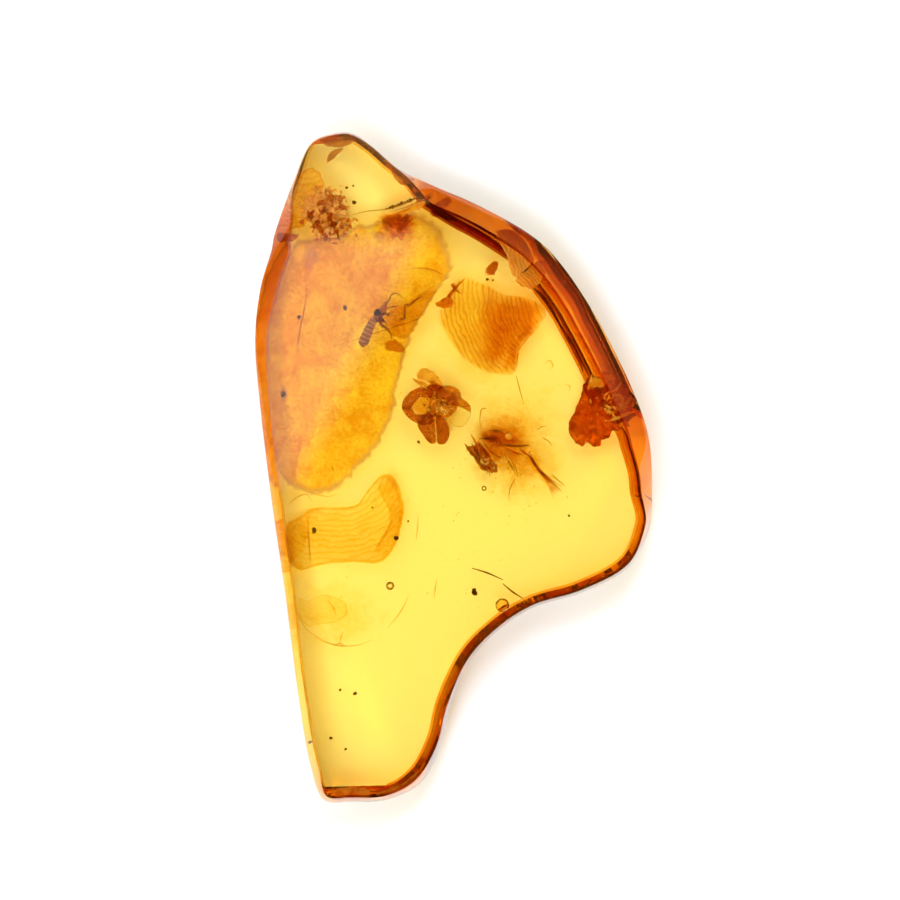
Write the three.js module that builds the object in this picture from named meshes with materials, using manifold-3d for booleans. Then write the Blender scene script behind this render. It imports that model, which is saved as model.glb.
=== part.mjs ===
// A polished slab of clear fossil resin, lying on its flat base. Millimetres, +Z up,
// with the origin under the middle of the slab's box, on the surface that it rests on.
import * as THREE from "three";
import { mergeVertices } from "three/addons/utils/BufferGeometryUtils.js";
import Module from "manifold-3d";

// Driving dimensions.
const LENGTH = 36;
const WIDTH = 21.4;
const THICKNESS = 6.2;
const RING_POINTS = 132;
const FOOT_SLOPE = 1.43; // rise of the chamfer at the foot for each millimetre of its width
const LOWER_STEPS = 4;
const UPPER_STEPS = 6;
const SHOULDER = 0.18; // how round the edge above the girdle is, on the same scale as the undercut
const CROWN_RINGS = [0.88, 0.7, 0.48, 0.24]; // rings of the top face, as shares of its outline
const CROWN_CENTRE = new THREE.Vector2(-1.8, -1.8); // every ring of the top face shrinks to here
const SLOPE_START = 0.5; // the top face starts to fall away to the left of this x
const SLOPE_FALL = 0.0035; // fall per square millimetre past that line

// Stations round the outline, clockwise from the narrow end: x, y, the width of the rounded
// edge above the girdle, the width of the undercut below it, how much of that the chamfer at
// the foot takes, the girdle's height, where the slab is widest, and how round the undercut
// is: 0 for a straight slope, 1 for a quarter ellipse.
const STATIONS = [
  [-6.4, 18.03, 0.3, 0.4, 0.25, 4.6, 0.4],
  [-5.5, 18.03, 0.3, 0.5, 0.4, 4.5, 0.3],
  [-4.4, 17.3, 0.15, 0.46, 0.36, 4.9, 0.3],
  [-2.9, 16.03, 0.15, 0.46, 0.34, 5.2, 0.3],
  [-1, 15.1, 0.92, 1.2, 0.3, 5.45, 0],
  [1.1, 14.2, 0.95, 1.45, 0.32, 5.4, 0],
  [3.87, 12.68, 1.05, 1.6, 0.32, 5.4, 0],
  [5, 11.78, 1.1, 1.8, 0.32, 5.4, 0],
  [5.95, 10.68, 1.1, 1.88, 0.32, 5.4, 0],
  [6.85, 9.38, 1.1, 1.85, 0.32, 5.4, 0],
  [7.73, 7.92, 1.15, 1.9, 0.32, 5.4, 0],
  [9.5, 4.4, 1.15, 1.95, 0.32, 5.4, 0],
  [10.45, 1.7, 0.98, 1.4, 0.32, 5.4, 0],
  [10.65, -1, 0.62, 1, 0.3, 5.2, 0.1],
  [10.55, -3.2, 0.3, 0.6, 0.3, 4.5, 0.2],
  [9.5, -5.3, 0.2, 0.53, 0.3, 4.2, 0.2],
  [6.9, -6.75, 0.2, 0.51, 0.3, 4.2, 0.2],
  [4.3, -7.55, 0.2, 0.51, 0.3, 4.2, 0.2],
  [2.5, -8.7, 0.2, 0.57, 0.32, 4.2, 0.2],
  [0.9, -10.4, 0.2, 0.62, 0.32, 4.2, 0.2],
  [-0.2, -12.9, 0.2, 0.66, 0.34, 4.2, 0.2],
  [-0.7, -14.9, 0.22, 0.66, 0.34, 4.3, 0.2],
  [-1.8, -17, 0.35, 0.74, 0.3, 4.4, 0.3],
  [-3.6, -17.9, 0.3, 0.55, 0.16, 4.4, 0.4],
  [-5.5, -18, 0.3, 0.4, 0.1, 4.6, 0.5],
  [-7, -17.9, 0.3, 0.4, 0.1, 4.9, 0.5],
  [-7.7, -16.1, 0.4, 0.3, 0.06, 5.2, 0.6],
  [-8.4, -12, 0.36, 0.3, 0.05, 5.5, 0.6],
  [-9.1, -6.6, 0.42, 0.35, 0.05, 5.5, 0.6],
  [-9.8, -1.8, 0.46, 0.4, 0.05, 5.4, 0.6],
  [-10.4, 3.1, 0.5, 0.45, 0.05, 5.35, 0.6],
  [-10.7, 6.9, 0.6, 0.5, 0.06, 5.3, 0.6],
  [-10.4, 9.7, 0.85, 0.5, 0.08, 5.2, 0.6],
  [-9.8, 11.8, 0.92, 0.5, 0.1, 5.1, 0.6],
  [-9.7, 12.4, 0.8, 0.48, 0.1, 5.05, 0.6],
  [-8.6, 15.5, 0.24, 0.32, 0.06, 5.3, 0.6],
  [-7.7, 17.5, 0.3, 0.25, 0.08, 4.9, 0.5],
];
const [X, Y, UPPER, LOWER, FOOT, GIRDLE, BELLY] = [0, 1, 2, 3, 4, 5, 6];

// Flat facets ground or broken off the slab: a point on each plane and the way that it faces.
const FACETS = [
  { name: "narrow end of the top face", at: [-5.4, 13.7, 6.05], faces: [-0.05, 0.17, 0.98] },
  { name: "chip under the narrow end", at: [-6.0, 17.4, 0], faces: [-0.1, 0.8, -0.6] },
  { name: "chip under the wide end", at: [-5.5, -17.3, 0], faces: [0.02, -0.8, -0.6] },
];
const CUTTER_SIZE = 60;

const wasm = await Module();
wasm.setup();

// A closed curve through the stations, sampled evenly, as points and the edge widths there.
function outline() {
  const silhouette = new THREE.CatmullRomCurve3(
    STATIONS.map((s) => new THREE.Vector3(s[X], s[Y], 0)),
    true,
    "centripetal",
  );
  const samples = [];
  for (let i = 0; i < RING_POINTS; i++) {
    const t = silhouette.getUtoTmapping(i / RING_POINTS);
    const position = t * STATIONS.length;
    const first = STATIONS[Math.floor(position) % STATIONS.length];
    const second = STATIONS[(Math.floor(position) + 1) % STATIONS.length];
    const share = THREE.MathUtils.smoothstep(position - Math.floor(position), 0, 1);
    const between = (column) => THREE.MathUtils.lerp(first[column], second[column], share);
    const point = silhouette.getPoint(t);
    const tangent = silhouette.getTangent(t);
    samples.push({
      x: point.x,
      y: point.y,
      inward: new THREE.Vector2(tangent.y, -tangent.x).normalize(),
      upper: between(UPPER),
      lower: between(LOWER),
      foot: between(FOOT),
      girdle: between(GIRDLE),
      belly: between(BELLY),
    });
  }
  return samples;
}

// How far in from the silhouette, and how far from the girdle, an edge has come: both from 0 to 1.
function edgeProfile(share, roundness) {
  const angle = (share * Math.PI) / 2;
  return {
    inset: THREE.MathUtils.lerp(share, 1 - Math.cos(angle), roundness),
    rise: THREE.MathUtils.lerp(share, Math.sin(angle), roundness),
  };
}

// Height of the top face, which is flat on the right and falls away gently on the left.
function crownHeight(x) {
  const past = Math.max(SLOPE_START - x, 0);
  return THICKNESS - SLOPE_FALL * past * past;
}

// One ring of vertices for each level, from the foot of the undercut to the middle of the top.
function rings() {
  const samples = outline();
  const levels = [samples.map((s) => insetPoint(s, s.lower, () => 0))];
  for (let i = LOWER_STEPS; i > 0; i--) {
    levels.push(
      samples.map((s) => {
        const { inset, rise } = edgeProfile(i / LOWER_STEPS, s.belly);
        const height = THREE.MathUtils.lerp(s.girdle, s.foot * FOOT_SLOPE, rise);
        return insetPoint(s, (s.lower - s.foot) * inset, () => height);
      }),
    );
  }
  for (let i = 0; i <= UPPER_STEPS; i++) {
    const { inset, rise } = edgeProfile(i / UPPER_STEPS, SHOULDER);
    levels.push(
      samples.map((s) =>
        insetPoint(s, s.upper * inset, (x) => THREE.MathUtils.lerp(s.girdle, crownHeight(x), rise)),
      ),
    );
  }
  const rim = levels.at(-1);
  for (const share of CROWN_RINGS) {
    levels.push(
      rim.map((p) => {
        const x = THREE.MathUtils.lerp(CROWN_CENTRE.x, p.x, share);
        const y = THREE.MathUtils.lerp(CROWN_CENTRE.y, p.y, share);
        return new THREE.Vector3(x, y, crownHeight(x));
      }),
    );
  }
  return levels;
}

function insetPoint(sample, distance, heightAt) {
  const x = sample.x + sample.inward.x * distance;
  const y = sample.y + sample.inward.y * distance;
  return new THREE.Vector3(x, y, heightAt(x));
}

// The uncut slab: rings joined by quads, closed by a fan below and a fan above.
function blank() {
  const levels = rings();
  const vertices = levels.flat();
  const foot = vertices.push(new THREE.Vector3(CROWN_CENTRE.x, CROWN_CENTRE.y, 0)) - 1;
  const peak =
    vertices.push(new THREE.Vector3(CROWN_CENTRE.x, CROWN_CENTRE.y, crownHeight(CROWN_CENTRE.x))) - 1;
  const index = [];
  for (let i = 0; i < RING_POINTS; i++) {
    const next = (i + 1) % RING_POINTS;
    index.push(foot, i, next);
    for (let ring = 0; ring + 1 < levels.length; ring++) {
      const a = ring * RING_POINTS + i;
      const b = ring * RING_POINTS + next;
      index.push(a, a + RING_POINTS, b);
      index.push(b, a + RING_POINTS, b + RING_POINTS);
    }
    const last = (levels.length - 1) * RING_POINTS;
    index.push(peak, last + next, last + i);
  }
  const geometry = new THREE.BufferGeometry().setFromPoints(vertices);
  geometry.setIndex(index);
  return geometry;
}

// A closed geometry as a manifold-3d solid.
function solidOf(geometry) {
  const bare = geometry.clone();
  bare.deleteAttribute("normal");
  bare.deleteAttribute("uv");
  const merged = mergeVertices(bare);
  return new wasm.Manifold(
    new wasm.Mesh({
      numProp: 3,
      vertProperties: merged.attributes.position.array,
      triVerts: new Uint32Array(merged.index.array),
    }),
  );
}

function geometryOf(solid) {
  const mesh = solid.getMesh();
  const geometry = new THREE.BufferGeometry();
  geometry.setAttribute("position", new THREE.BufferAttribute(mesh.vertProperties, 3));
  geometry.setIndex(new THREE.BufferAttribute(mesh.triVerts, 1));
  return geometry;
}

// A big block whose lower face lies in the facet's plane, so that taking it away leaves the facet.
function facetCutter({ at, faces }) {
  const outward = new THREE.Vector3(...faces).normalize();
  const block = new THREE.BoxGeometry(CUTTER_SIZE, CUTTER_SIZE, CUTTER_SIZE);
  block.translate(0, 0, CUTTER_SIZE / 2);
  block.applyQuaternion(new THREE.Quaternion().setFromUnitVectors(new THREE.Vector3(0, 0, 1), outward));
  block.translate(...at);
  return solidOf(block);
}

// Brings the slab's box to exactly its driving length and width, centred over the origin.
function trued(geometry) {
  geometry.computeBoundingBox();
  const size = geometry.boundingBox.getSize(new THREE.Vector3());
  const centre = geometry.boundingBox.getCenter(new THREE.Vector3());
  geometry.translate(-centre.x, -centre.y, 0);
  geometry.scale(WIDTH / size.x, LENGTH / size.y, 1);
  return geometry;
}

function amber() {
  let solid = solidOf(trued(blank()));
  for (const facet of FACETS) {
    solid = solid.subtract(facetCutter(facet));
  }
  const resin = new THREE.MeshStandardMaterial({ color: 0xf4b41e, roughness: 0.05, metalness: 0 });
  const mesh = new THREE.Mesh(geometryOf(solid), resin);
  mesh.name = "amber_piece";
  return mesh;
}

const specimen = new THREE.Group();
specimen.add(amber());

export default specimen;
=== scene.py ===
"""A slab of clear golden amber, seen from above, with an insect, a flower and fracture veils sealed in it."""
import logging
import math
import random
from dataclasses import dataclass, field
from typing import Sequence

import bmesh
import bpy
from mathutils import Matrix, Vector, noise


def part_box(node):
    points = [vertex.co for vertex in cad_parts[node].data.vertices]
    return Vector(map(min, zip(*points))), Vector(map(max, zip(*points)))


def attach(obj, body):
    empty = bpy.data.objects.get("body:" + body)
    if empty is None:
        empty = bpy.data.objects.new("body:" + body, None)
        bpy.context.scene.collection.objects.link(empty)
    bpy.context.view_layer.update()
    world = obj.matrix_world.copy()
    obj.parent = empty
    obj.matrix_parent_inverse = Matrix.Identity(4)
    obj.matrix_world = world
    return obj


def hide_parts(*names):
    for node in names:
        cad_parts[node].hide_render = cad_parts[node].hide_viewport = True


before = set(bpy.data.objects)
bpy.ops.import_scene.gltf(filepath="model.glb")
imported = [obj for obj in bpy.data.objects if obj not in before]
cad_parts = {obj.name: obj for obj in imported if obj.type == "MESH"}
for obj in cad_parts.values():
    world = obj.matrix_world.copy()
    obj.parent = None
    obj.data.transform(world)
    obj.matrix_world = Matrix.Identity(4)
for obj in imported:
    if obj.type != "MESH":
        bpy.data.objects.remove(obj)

log = logging.getLogger("amber")
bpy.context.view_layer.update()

NODE = "amber_piece"
BODY = "root"
SLAB_LENGTH = 36.0  # the slab's length in the millimetres that every size below is given in
LOW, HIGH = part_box(NODE)
MM = (HIGH.y - LOW.y) / SLAB_LENGTH
THICKNESS = (HIGH.z - LOW.z) / MM
JAG_SEED = 11  # what the jags of the sheets' borders are drawn from
JAG_GRAIN = 4.3  # how many small jags a sheet's border has to a millimetre
RIPPLE_GRAIN = 0.9  # how many soft waves a sheet has to a millimetre
SWELL_GRAIN = 2.1  # how many lumps the skin of a thick sheet has to a millimetre
LUMP_GRAIN = 1.8  # how many bumps a rounded lump has to its radius


# ---------------------------------------------------------------- shader maths


class Term:
    """A value socket of a node tree that can be used in arithmetic."""

    def __init__(self, shader: "NodeSpace", socket: bpy.types.NodeSocket | float) -> None:
        """Wraps a socket, or a plain number, of one shader."""
        self.shader = shader
        self.socket = socket

    def _math(self, operation: str, *others: "Term | float") -> "Term":
        """Adds a Math node.

        Args:
            operation: the Math node's operation.
            others: the values that follow this one.

        Returns:
            The node's result.
        """
        values = dict(enumerate([self, *others]))
        node = self.shader.node("ShaderNodeMath", {"operation": operation}, values)
        return Term(self.shader, node.outputs[0])

    def __add__(self, other: "Term | float") -> "Term":
        """Sum."""
        return self._math("ADD", other)

    __radd__ = __add__

    def __sub__(self, other: "Term | float") -> "Term":
        """Difference."""
        return self._math("SUBTRACT", other)

    def __rsub__(self, other: float) -> "Term":
        """A number less this value."""
        return Term(self.shader, other)._math("SUBTRACT", self)

    def __mul__(self, other: "Term | float") -> "Term":
        """Product."""
        return self._math("MULTIPLY", other)

    __rmul__ = __mul__

    def __truediv__(self, other: "Term | float") -> "Term":
        """Quotient."""
        return self._math("DIVIDE", other)

    def __pow__(self, other: "Term | float") -> "Term":
        """Power."""
        return self._math("POWER", other)

    def sine(self) -> "Term":
        """Sine of an angle in radians."""
        return self._math("SINE")

    def size(self) -> "Term":
        """Absolute value."""
        return self._math("ABSOLUTE")

    def most(self, other: "Term | float") -> "Term":
        """The larger of two values."""
        return self._math("MAXIMUM", other)

    def step(self, low: float, high: float) -> "Term":
        """Rises smoothly from 0 at low to 1 at high; low may be the larger of the two."""
        if low > high:
            return 1.0 - self.step(high, low)
        settings = {"interpolation_type": "SMOOTHSTEP"}
        values = {"Value": self, "From Min": low, "From Max": high}
        return Term(self.shader, self.shader.node("ShaderNodeMapRange", settings, values).outputs[0])


Colour = tuple[float, float, float]
Linkable = Term | bpy.types.NodeSocket | float | tuple


class NodeSpace:
    """Adds nodes to one node tree."""

    def __init__(self, tree: bpy.types.NodeTree) -> None:
        """Works in one tree.

        Args:
            tree: the tree of a material or of the world.
        """
        self.tree = tree

    def node(self, kind: str, settings: dict | None = None, inputs: dict | None = None) -> bpy.types.Node:
        """Adds any node.

        Args:
            kind: the node's type.
            settings: properties to set on the node first.
            inputs: values or links by socket name or number.

        Returns:
            The new node.
        """
        made = self.tree.nodes.new(kind)
        for key, value in (settings or {}).items():
            setattr(made, key, value)
        for key, value in (inputs or {}).items():
            self.feed(made.inputs[key], value)
        return made

    def feed(self, socket: bpy.types.NodeSocket, value: Linkable) -> None:
        """Links a value to a socket, or sets it there if it is plain.

        Args:
            socket: the socket to feed.
            value: a term, an output socket, a number or a tuple.
        """
        source = value.socket if isinstance(value, Term) else value
        if isinstance(source, bpy.types.NodeSocket):
            self.tree.links.new(source, socket)
        elif isinstance(source, tuple) and socket.type == "RGBA":
            socket.default_value = (*source[:3], 1.0)
        else:
            socket.default_value = source

    def parts(self, vector: bpy.types.NodeSocket) -> tuple[Term, Term, Term]:
        """The three components of a vector."""
        split = self.node("ShaderNodeSeparateXYZ", None, {0: vector})
        return tuple(Term(self, out) for out in split.outputs)

    def joined(self, x: Linkable, y: Linkable, z: Linkable) -> bpy.types.NodeSocket:
        """A vector from three values."""
        return self.node("ShaderNodeCombineXYZ", None, {0: x, 1: y, 2: z}).outputs[0]


class Shader(NodeSpace):
    """Builds one material's node tree round a Principled BSDF."""

    def __init__(self, name: str) -> None:
        """Starts a material with a Principled BSDF and its output.

        Args:
            name: the material's name.
        """
        self.material = bpy.data.materials.new(name)
        self.material.use_nodes = True
        super().__init__(self.material.node_tree)
        self.surface = self.tree.nodes["Principled BSDF"]
        self.output = self.tree.nodes["Material Output"]

    def place(self, centre: Sequence[float] = (0.0, 0.0, 0.0)) -> bpy.types.NodeSocket:
        """Object coordinates in millimetres about a centre.

        Args:
            centre: the pattern's own origin, in millimetres.

        Returns:
            The coordinates.
        """
        inputs = {
            "Vector": self.node("ShaderNodeTexCoord").outputs["Object"],
            "Location": tuple(c * MM for c in centre),
            "Scale": (MM, MM, MM),
        }
        return self.node("ShaderNodeMapping", {"vector_type": "TEXTURE"}, inputs).outputs[0]

    def cloud(self, at: bpy.types.NodeSocket, scale: float, detail: float = 3.0, warp: float = 0.0) -> Term:
        """Fractal noise from 0 to 1.

        Args:
            at: the coordinates.
            scale: features per millimetre.
            detail: octaves.
            warp: distortion of the pattern.

        Returns:
            The noise.
        """
        inputs = {"Vector": at, "Scale": scale, "Detail": detail, "Distortion": warp}
        return Term(self, self.node("ShaderNodeTexNoise", None, inputs).outputs["Fac"])

    def cells(self, at: bpy.types.NodeSocket, scale: float) -> Term:
        """Distance to the nearest of a scatter of points.

        Args:
            at: the coordinates.
            scale: points per millimetre.

        Returns:
            The distance.
        """
        inputs = {"Vector": at, "Scale": scale}
        return Term(self, self.node("ShaderNodeTexVoronoi", None, inputs).outputs["Distance"])

    def stored(self, name: str) -> Term:
        """A number stored on the mesh."""
        return Term(self, self.node("ShaderNodeAttribute", {"attribute_name": name}).outputs["Fac"])

    def blend(self, share: Linkable, first: Linkable, second: Linkable) -> bpy.types.NodeSocket:
        """Mixes two colours.

        Args:
            share: how much of the second colour, from 0 to 1.
            first: the colour where share is 0.
            second: the colour where share is 1.

        Returns:
            The mixed colour.
        """
        return self.node("ShaderNodeMix", {"data_type": "RGBA"}, {0: share, 6: first, 7: second}).outputs[2]

    def dress(self, **inputs: Linkable) -> None:
        """Feeds the Principled BSDF; underscores in the names stand for spaces."""
        for key, value in inputs.items():
            self.feed(self.surface.inputs[key.replace("_", " ")], value)


# ---------------------------------------------------------------- finishes


@dataclass(frozen=True)
class ClearResin:
    """Clear golden amber: its index of refraction and what it takes from each colour of light."""

    ior: float = 1.54
    absorbed_per_mm: Colour = (0.005, 0.031, 0.175)

    def material(self) -> bpy.types.Material:
        """The resin's material, with its absorption in the volume."""
        shader = Shader("clear_resin")
        shader.dress(Base_Color=(1.0, 1.0, 1.0), Roughness=0.0, Transmission_Weight=1.0, IOR=self.ior)
        strongest = max(self.absorbed_per_mm)
        kept = tuple(1.0 - share / strongest for share in self.absorbed_per_mm)
        inputs = {"Color": kept, "Density": strongest / MM}
        volume = shader.node("ShaderNodeVolumeAbsorption", None, inputs)
        shader.feed(shader.output.inputs["Volume"], volume.outputs[0])
        return shader.material


@dataclass(frozen=True)
class WeatheredRim:
    """The reddish oxidised layer just under the slab's unpolished edges.

    fresh, aged and burnt are its tints as the weathering grows stronger and charred the
    tint of the darkest corner; haze is the share of light that it scatters. The rest
    says where the upper part of the edge and that corner begin and end, in millimetres.
    """

    fresh: Colour = (0.92, 0.62, 0.16)
    aged: Colour = (0.82, 0.24, 0.006)
    burnt: Colour = (0.50, 0.065, 0.001)
    charred: Colour = (0.28, 0.025, 0.0004)
    haze: float = 0.12
    upper_part: tuple[float, float] = (4.2, 5.3)
    corner_across: tuple[float, float] = (-2.5, -0.5)
    corner_along: tuple[float, float] = (9.5, 12.5)

    def material(self) -> bpy.types.Material:
        """A tinted film that the light passes through."""
        shader = Shader("weathered_rim")
        at = shader.place()
        mottle = (shader.cloud(at, 0.45, 4.0, 0.4) - 0.5) * 0.5
        across, along, height = shader.parts(at)
        depth = shader.stored("grade") * (height.step(*self.upper_part) * 0.25 + 0.75)
        strength = depth + mottle * 0.6
        tint = shader.blend(strength.step(0.3, 0.75), self.fresh, self.aged)
        tint = shader.blend(strength.step(0.55, 1.1), tint, self.burnt)
        corner = across.step(*self.corner_across) * along.step(*self.corner_along)
        tint = shader.blend(corner * (depth + mottle).step(0.3, 0.9), tint, self.charred)
        shader.dress(Base_Color=tint, Roughness=0.0, Transmission_Weight=1.0 - self.haze, IOR=1.0)
        return shader.material


@dataclass(frozen=True)
class Ribs:
    """Fine ridges that run in arcs round a centre.

    pitch is the distance from ridge to ridge, height how far they stand up and
    strength how much of the film's mottling they take over, from 0 to 1.
    """

    centre: tuple[float, float]
    pitch: float
    height: float = 0.03
    strength: float = 0.6

    def rise(self, x: float, y: float) -> float:
        """How far the sheet stands up at a place."""
        reach = math.hypot(x - self.centre[0], y - self.centre[1])
        return self.height * math.sin(math.tau * reach / self.pitch)


@dataclass(frozen=True)
class StainedFilm:
    """A fracture or a scrap of tissue in the resin, which tints the light that passes.

    pale and deep are the tints that it is mottled with and border the tint near its
    edge; mottle is how many mottles there are to a millimetre and contrast how soft
    they are. haze is the share of light that it scatters, and fade and rim are how far
    in from the edge, from 0 to 1, it fades out and the border tint reaches. specks and
    wisps are how many dark specks and fine dark threads there are to a millimetre.
    """

    name: str
    pale: Colour
    deep: Colour
    border: Colour | None = None
    rim: float = 0.12
    mottle: float = 1.0
    contrast: float = 0.35
    haze: float = 0.08
    fade: float = 0.04
    ribs: Ribs | None = None
    specks: float = 0.0
    wisps: float = 0.0

    def material(self) -> bpy.types.Material:
        """The film's material."""
        shader = Shader(self.name)
        at = shader.place()
        grade = shader.stored("grade")
        cloud = shader.cloud(at, self.mottle, 5.0, 0.6)
        fine = shader.cloud(at, self.mottle * 6.0, 3.0)
        depth = (cloud * 0.6 + fine * 0.4).step(0.5 - self.contrast / 2, 0.5 + self.contrast / 2)
        if self.ribs:
            x, y, _ = shader.parts(shader.place((*self.ribs.centre, 0.0)))
            reach = (x * x + y * y) ** 0.5 + (cloud - 0.5) * self.ribs.pitch * 3.0
            wave = (reach * (math.tau / self.ribs.pitch)).sine() * 0.5 + 0.5
            depth = depth * (1.0 - self.ribs.strength) + wave.step(0.55, 1.0) * self.ribs.strength
        if self.wisps:
            strand = (shader.cloud(at, self.wisps, 3.0, 1.5) - 0.5).size().step(0.03, 0.0)
            depth = depth.most(strand * fine.step(0.42, 0.58) * 0.8)
        if self.specks:
            depth = depth.most(1.0 - shader.cells(at, self.specks).step(0.05, 0.12))
        tint = shader.blend(depth, self.pale, self.deep)
        if self.border:
            edge = (grade + (fine - 0.5) * self.rim).step(self.rim, self.rim * 0.4)
            tint = shader.blend(edge, tint, self.border)
        cover = (grade + (cloud - 0.5) * self.fade).step(0.0, self.fade)
        shader.dress(Base_Color=tint, Alpha=cover, Roughness=0.0, IOR=1.0)
        shader.dress(Transmission_Weight=1.0 - self.haze)
        return shader.material


@dataclass(frozen=True)
class FossilTissue:
    """Browned skin, petal or bark: partly lets light through, mottled and banded.

    light and dark are its two colours, clear the share of light that goes through,
    grain how many mottles there are to a millimetre, bands how many rings it has from
    end to end, sheen how rough it is at its smoothest and density how much it bends
    light.
    """

    name: str
    light: Colour
    dark: Colour
    clear: float = 0.5
    grain: float = 4.0
    bands: float = 0.0
    sheen: float = 0.35
    density: float = 1.12

    def material(self) -> bpy.types.Material:
        """The tissue's material."""
        shader = Shader(self.name)
        at = shader.place()
        depth = shader.cloud(at, self.grain, 4.0, 0.8).step(0.3, 0.7)
        if self.bands:
            ring = (shader.stored("grade") * (math.tau * self.bands)).sine() * 0.5 + 0.5
            depth = depth * 0.6 + ring.step(0.2, 0.9) * 0.4
        shader.dress(Base_Color=shader.blend(depth, self.light, self.dark), IOR=self.density)
        shader.dress(Roughness=depth * 0.3 + self.sheen, Transmission_Weight=self.clear)
        return shader.material


@dataclass(frozen=True)
class TrappedGas:
    """A gas bubble in the resin: its wall's tint and how it bends light, the other way round."""

    name: str = "trapped_gas"
    stain: Colour = (1.0, 0.96, 0.80)
    bend: float = 0.66

    def material(self) -> bpy.types.Material:
        """The bubble's material, a little cloudy on its wall."""
        shader = Shader(self.name)
        cloudy = shader.cloud(shader.place(), 5.0, 3.0)
        tint = shader.blend(cloudy.step(0.4, 0.8), self.stain, tuple(c * 0.8 for c in self.stain))
        shader.dress(Base_Color=tint, Roughness=cloudy * 0.05, Transmission_Weight=1.0, IOR=self.bend)
        return shader.material


@dataclass(frozen=True)
class StudioPaper:
    """Matt white paper under the slab: how white it is and how far its tooth darkens it."""

    shade: float = 0.94
    tooth: float = 0.008

    def material(self) -> bpy.types.Material:
        """Nearly even white with the faintest mottling."""
        shader = Shader("studio_paper")
        mottle = shader.cloud(shader.place(), 0.02, 2.0) * self.tooth + (self.shade - self.tooth)
        grey = shader.node("ShaderNodeCombineColor", None, {0: mottle, 1: mottle, 2: mottle})
        shader.dress(Base_Color=grey.outputs[0], Roughness=1.0, Specular_IOR_Level=0.0)
        return shader.material


# ---------------------------------------------------------------- making pieces


def finished(
    name: str, bm: bmesh.types.BMesh, material: bpy.types.Material, sharp: float = 180.0
) -> bpy.types.Object:
    """Turns a bmesh in millimetres into a finished piece.

    Args:
        name: the piece's name.
        bm: its mesh, which is freed.
        material: its finish.
        sharp: edges that turn by more than this many degrees stay crisp.

    Returns:
        The piece, in metres, at the frame's origin.
    """
    bmesh.ops.transform(bm, matrix=Matrix.Scale(MM, 4), verts=bm.verts)
    mesh = bpy.data.meshes.new(name)
    bm.to_mesh(mesh)
    bm.free()
    mesh.shade_smooth()
    if sharp < 180.0:
        mesh.set_sharp_from_angle(angle=math.radians(sharp))
    mesh.materials.append(material)
    piece = bpy.data.objects.new(name, mesh)
    bpy.context.scene.collection.objects.link(piece)
    return piece


def sealed(piece: bpy.types.Object) -> None:
    """Lets a piece sealed in the resin ride with it and reports it.

    Args:
        piece: the piece.
    """
    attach(piece, BODY)
    log.info("%s: %d faces", piece.name, len(piece.data.polygons))


def smooth(share: float) -> float:
    """Eases a share from 0 to 1."""
    return share * share * (3.0 - 2.0 * share)


def spline(points: Sequence[Vector], share: float) -> Vector:
    """A centripetal Catmull-Rom curve through four points.

    Args:
        points: the four points; the curve runs from the second to the third.
        share: how far along, from 0 to 1.

    Returns:
        The point there.
    """
    knots = [0.0]
    for a, b in zip(points, points[1:]):
        knots.append(knots[-1] + max((b - a).length, 1e-6) ** 0.5)
    t = knots[1] + (knots[2] - knots[1]) * share
    row = list(points)
    for width in (1, 2):
        row = [
            a.lerp(b, (t - low) / (high - low))
            for a, b, low, high in zip(row, row[1:], knots, knots[width:])
        ]
    return row[0].lerp(row[1], (t - knots[1]) / (knots[2] - knots[1]))


def graded_mesh() -> bmesh.types.BMesh:
    """An empty mesh that keeps a grade, a number from 0 to 1, at every vertex."""
    bm = bmesh.new()
    bm.verts.layers.float.new("grade")
    return bm


def loft(bm: bmesh.types.BMesh, rings: list[list[Vector]], grades: Sequence[float | list[float]]) -> list:
    """Extrudes a skin through rings of points.

    Args:
        bm: the graded mesh to build in.
        rings: the rings, in order.
        grades: the grade of each ring, or of each point of each ring.

    Returns:
        The edges of the first ring and the edges of the last.
    """
    layer = bm.verts.layers.float["grade"]
    order = bmesh.ops.create_circle(bm, cap_ends=False, segments=len(rings[0]), radius=1.0)["verts"]
    first = edges = list({e for v in order for e in v.link_edges})
    for i, (ring, grade) in enumerate(zip(rings, grades)):
        if i:
            grown = bmesh.ops.extrude_edge_only(bm, edges=edges)["geom"]
            edges = [g for g in grown if isinstance(g, bmesh.types.BMEdge)]
            fresh = {g for g in grown if isinstance(g, bmesh.types.BMVert)}
            order = [next(e.other_vert(v) for e in v.link_edges if e.other_vert(v) in fresh) for v in order]
        for k, (vert, place) in enumerate(zip(order, ring)):
            vert.co = place
            vert[layer] = grade[k] if isinstance(grade, list) else grade
    return [first, edges]


def close(bm: bmesh.types.BMesh, edges: list[bmesh.types.BMEdge], spot: Vector, grade: float) -> None:
    """Draws a ring of edges together to one point.

    Args:
        bm: the mesh.
        edges: the ring.
        spot: the point.
        grade: the grade there.
    """
    layer = bm.verts.layers.float["grade"]
    grown = bmesh.ops.extrude_edge_only(bm, edges=edges)["geom"]
    tips = [g for g in grown if isinstance(g, bmesh.types.BMVert)]
    for tip in tips:
        tip[layer] = grade
    bmesh.ops.pointmerge(bm, verts=tips, merge_co=spot)


def drawn(points: Sequence[Vector], steps: int, closed: bool) -> list[Vector]:
    """A smooth curve through points.

    Args:
        points: the points.
        steps: points made for each span.
        closed: whether the curve comes back to its start.

    Returns:
        The curve's points.
    """
    count = len(points)
    ends = [points[0] * 2 - points[1], *points, points[-1] * 2 - points[-2]]
    spans = range(count) if closed else range(count - 1)
    made = []
    for i in spans:
        near = [points[(i + k) % count] for k in (-1, 0, 1, 2)] if closed else ends[i : i + 4]
        made += [spline(near, j / steps) for j in range(steps)]
    return made if closed else [*made, points[-1]]


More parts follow.
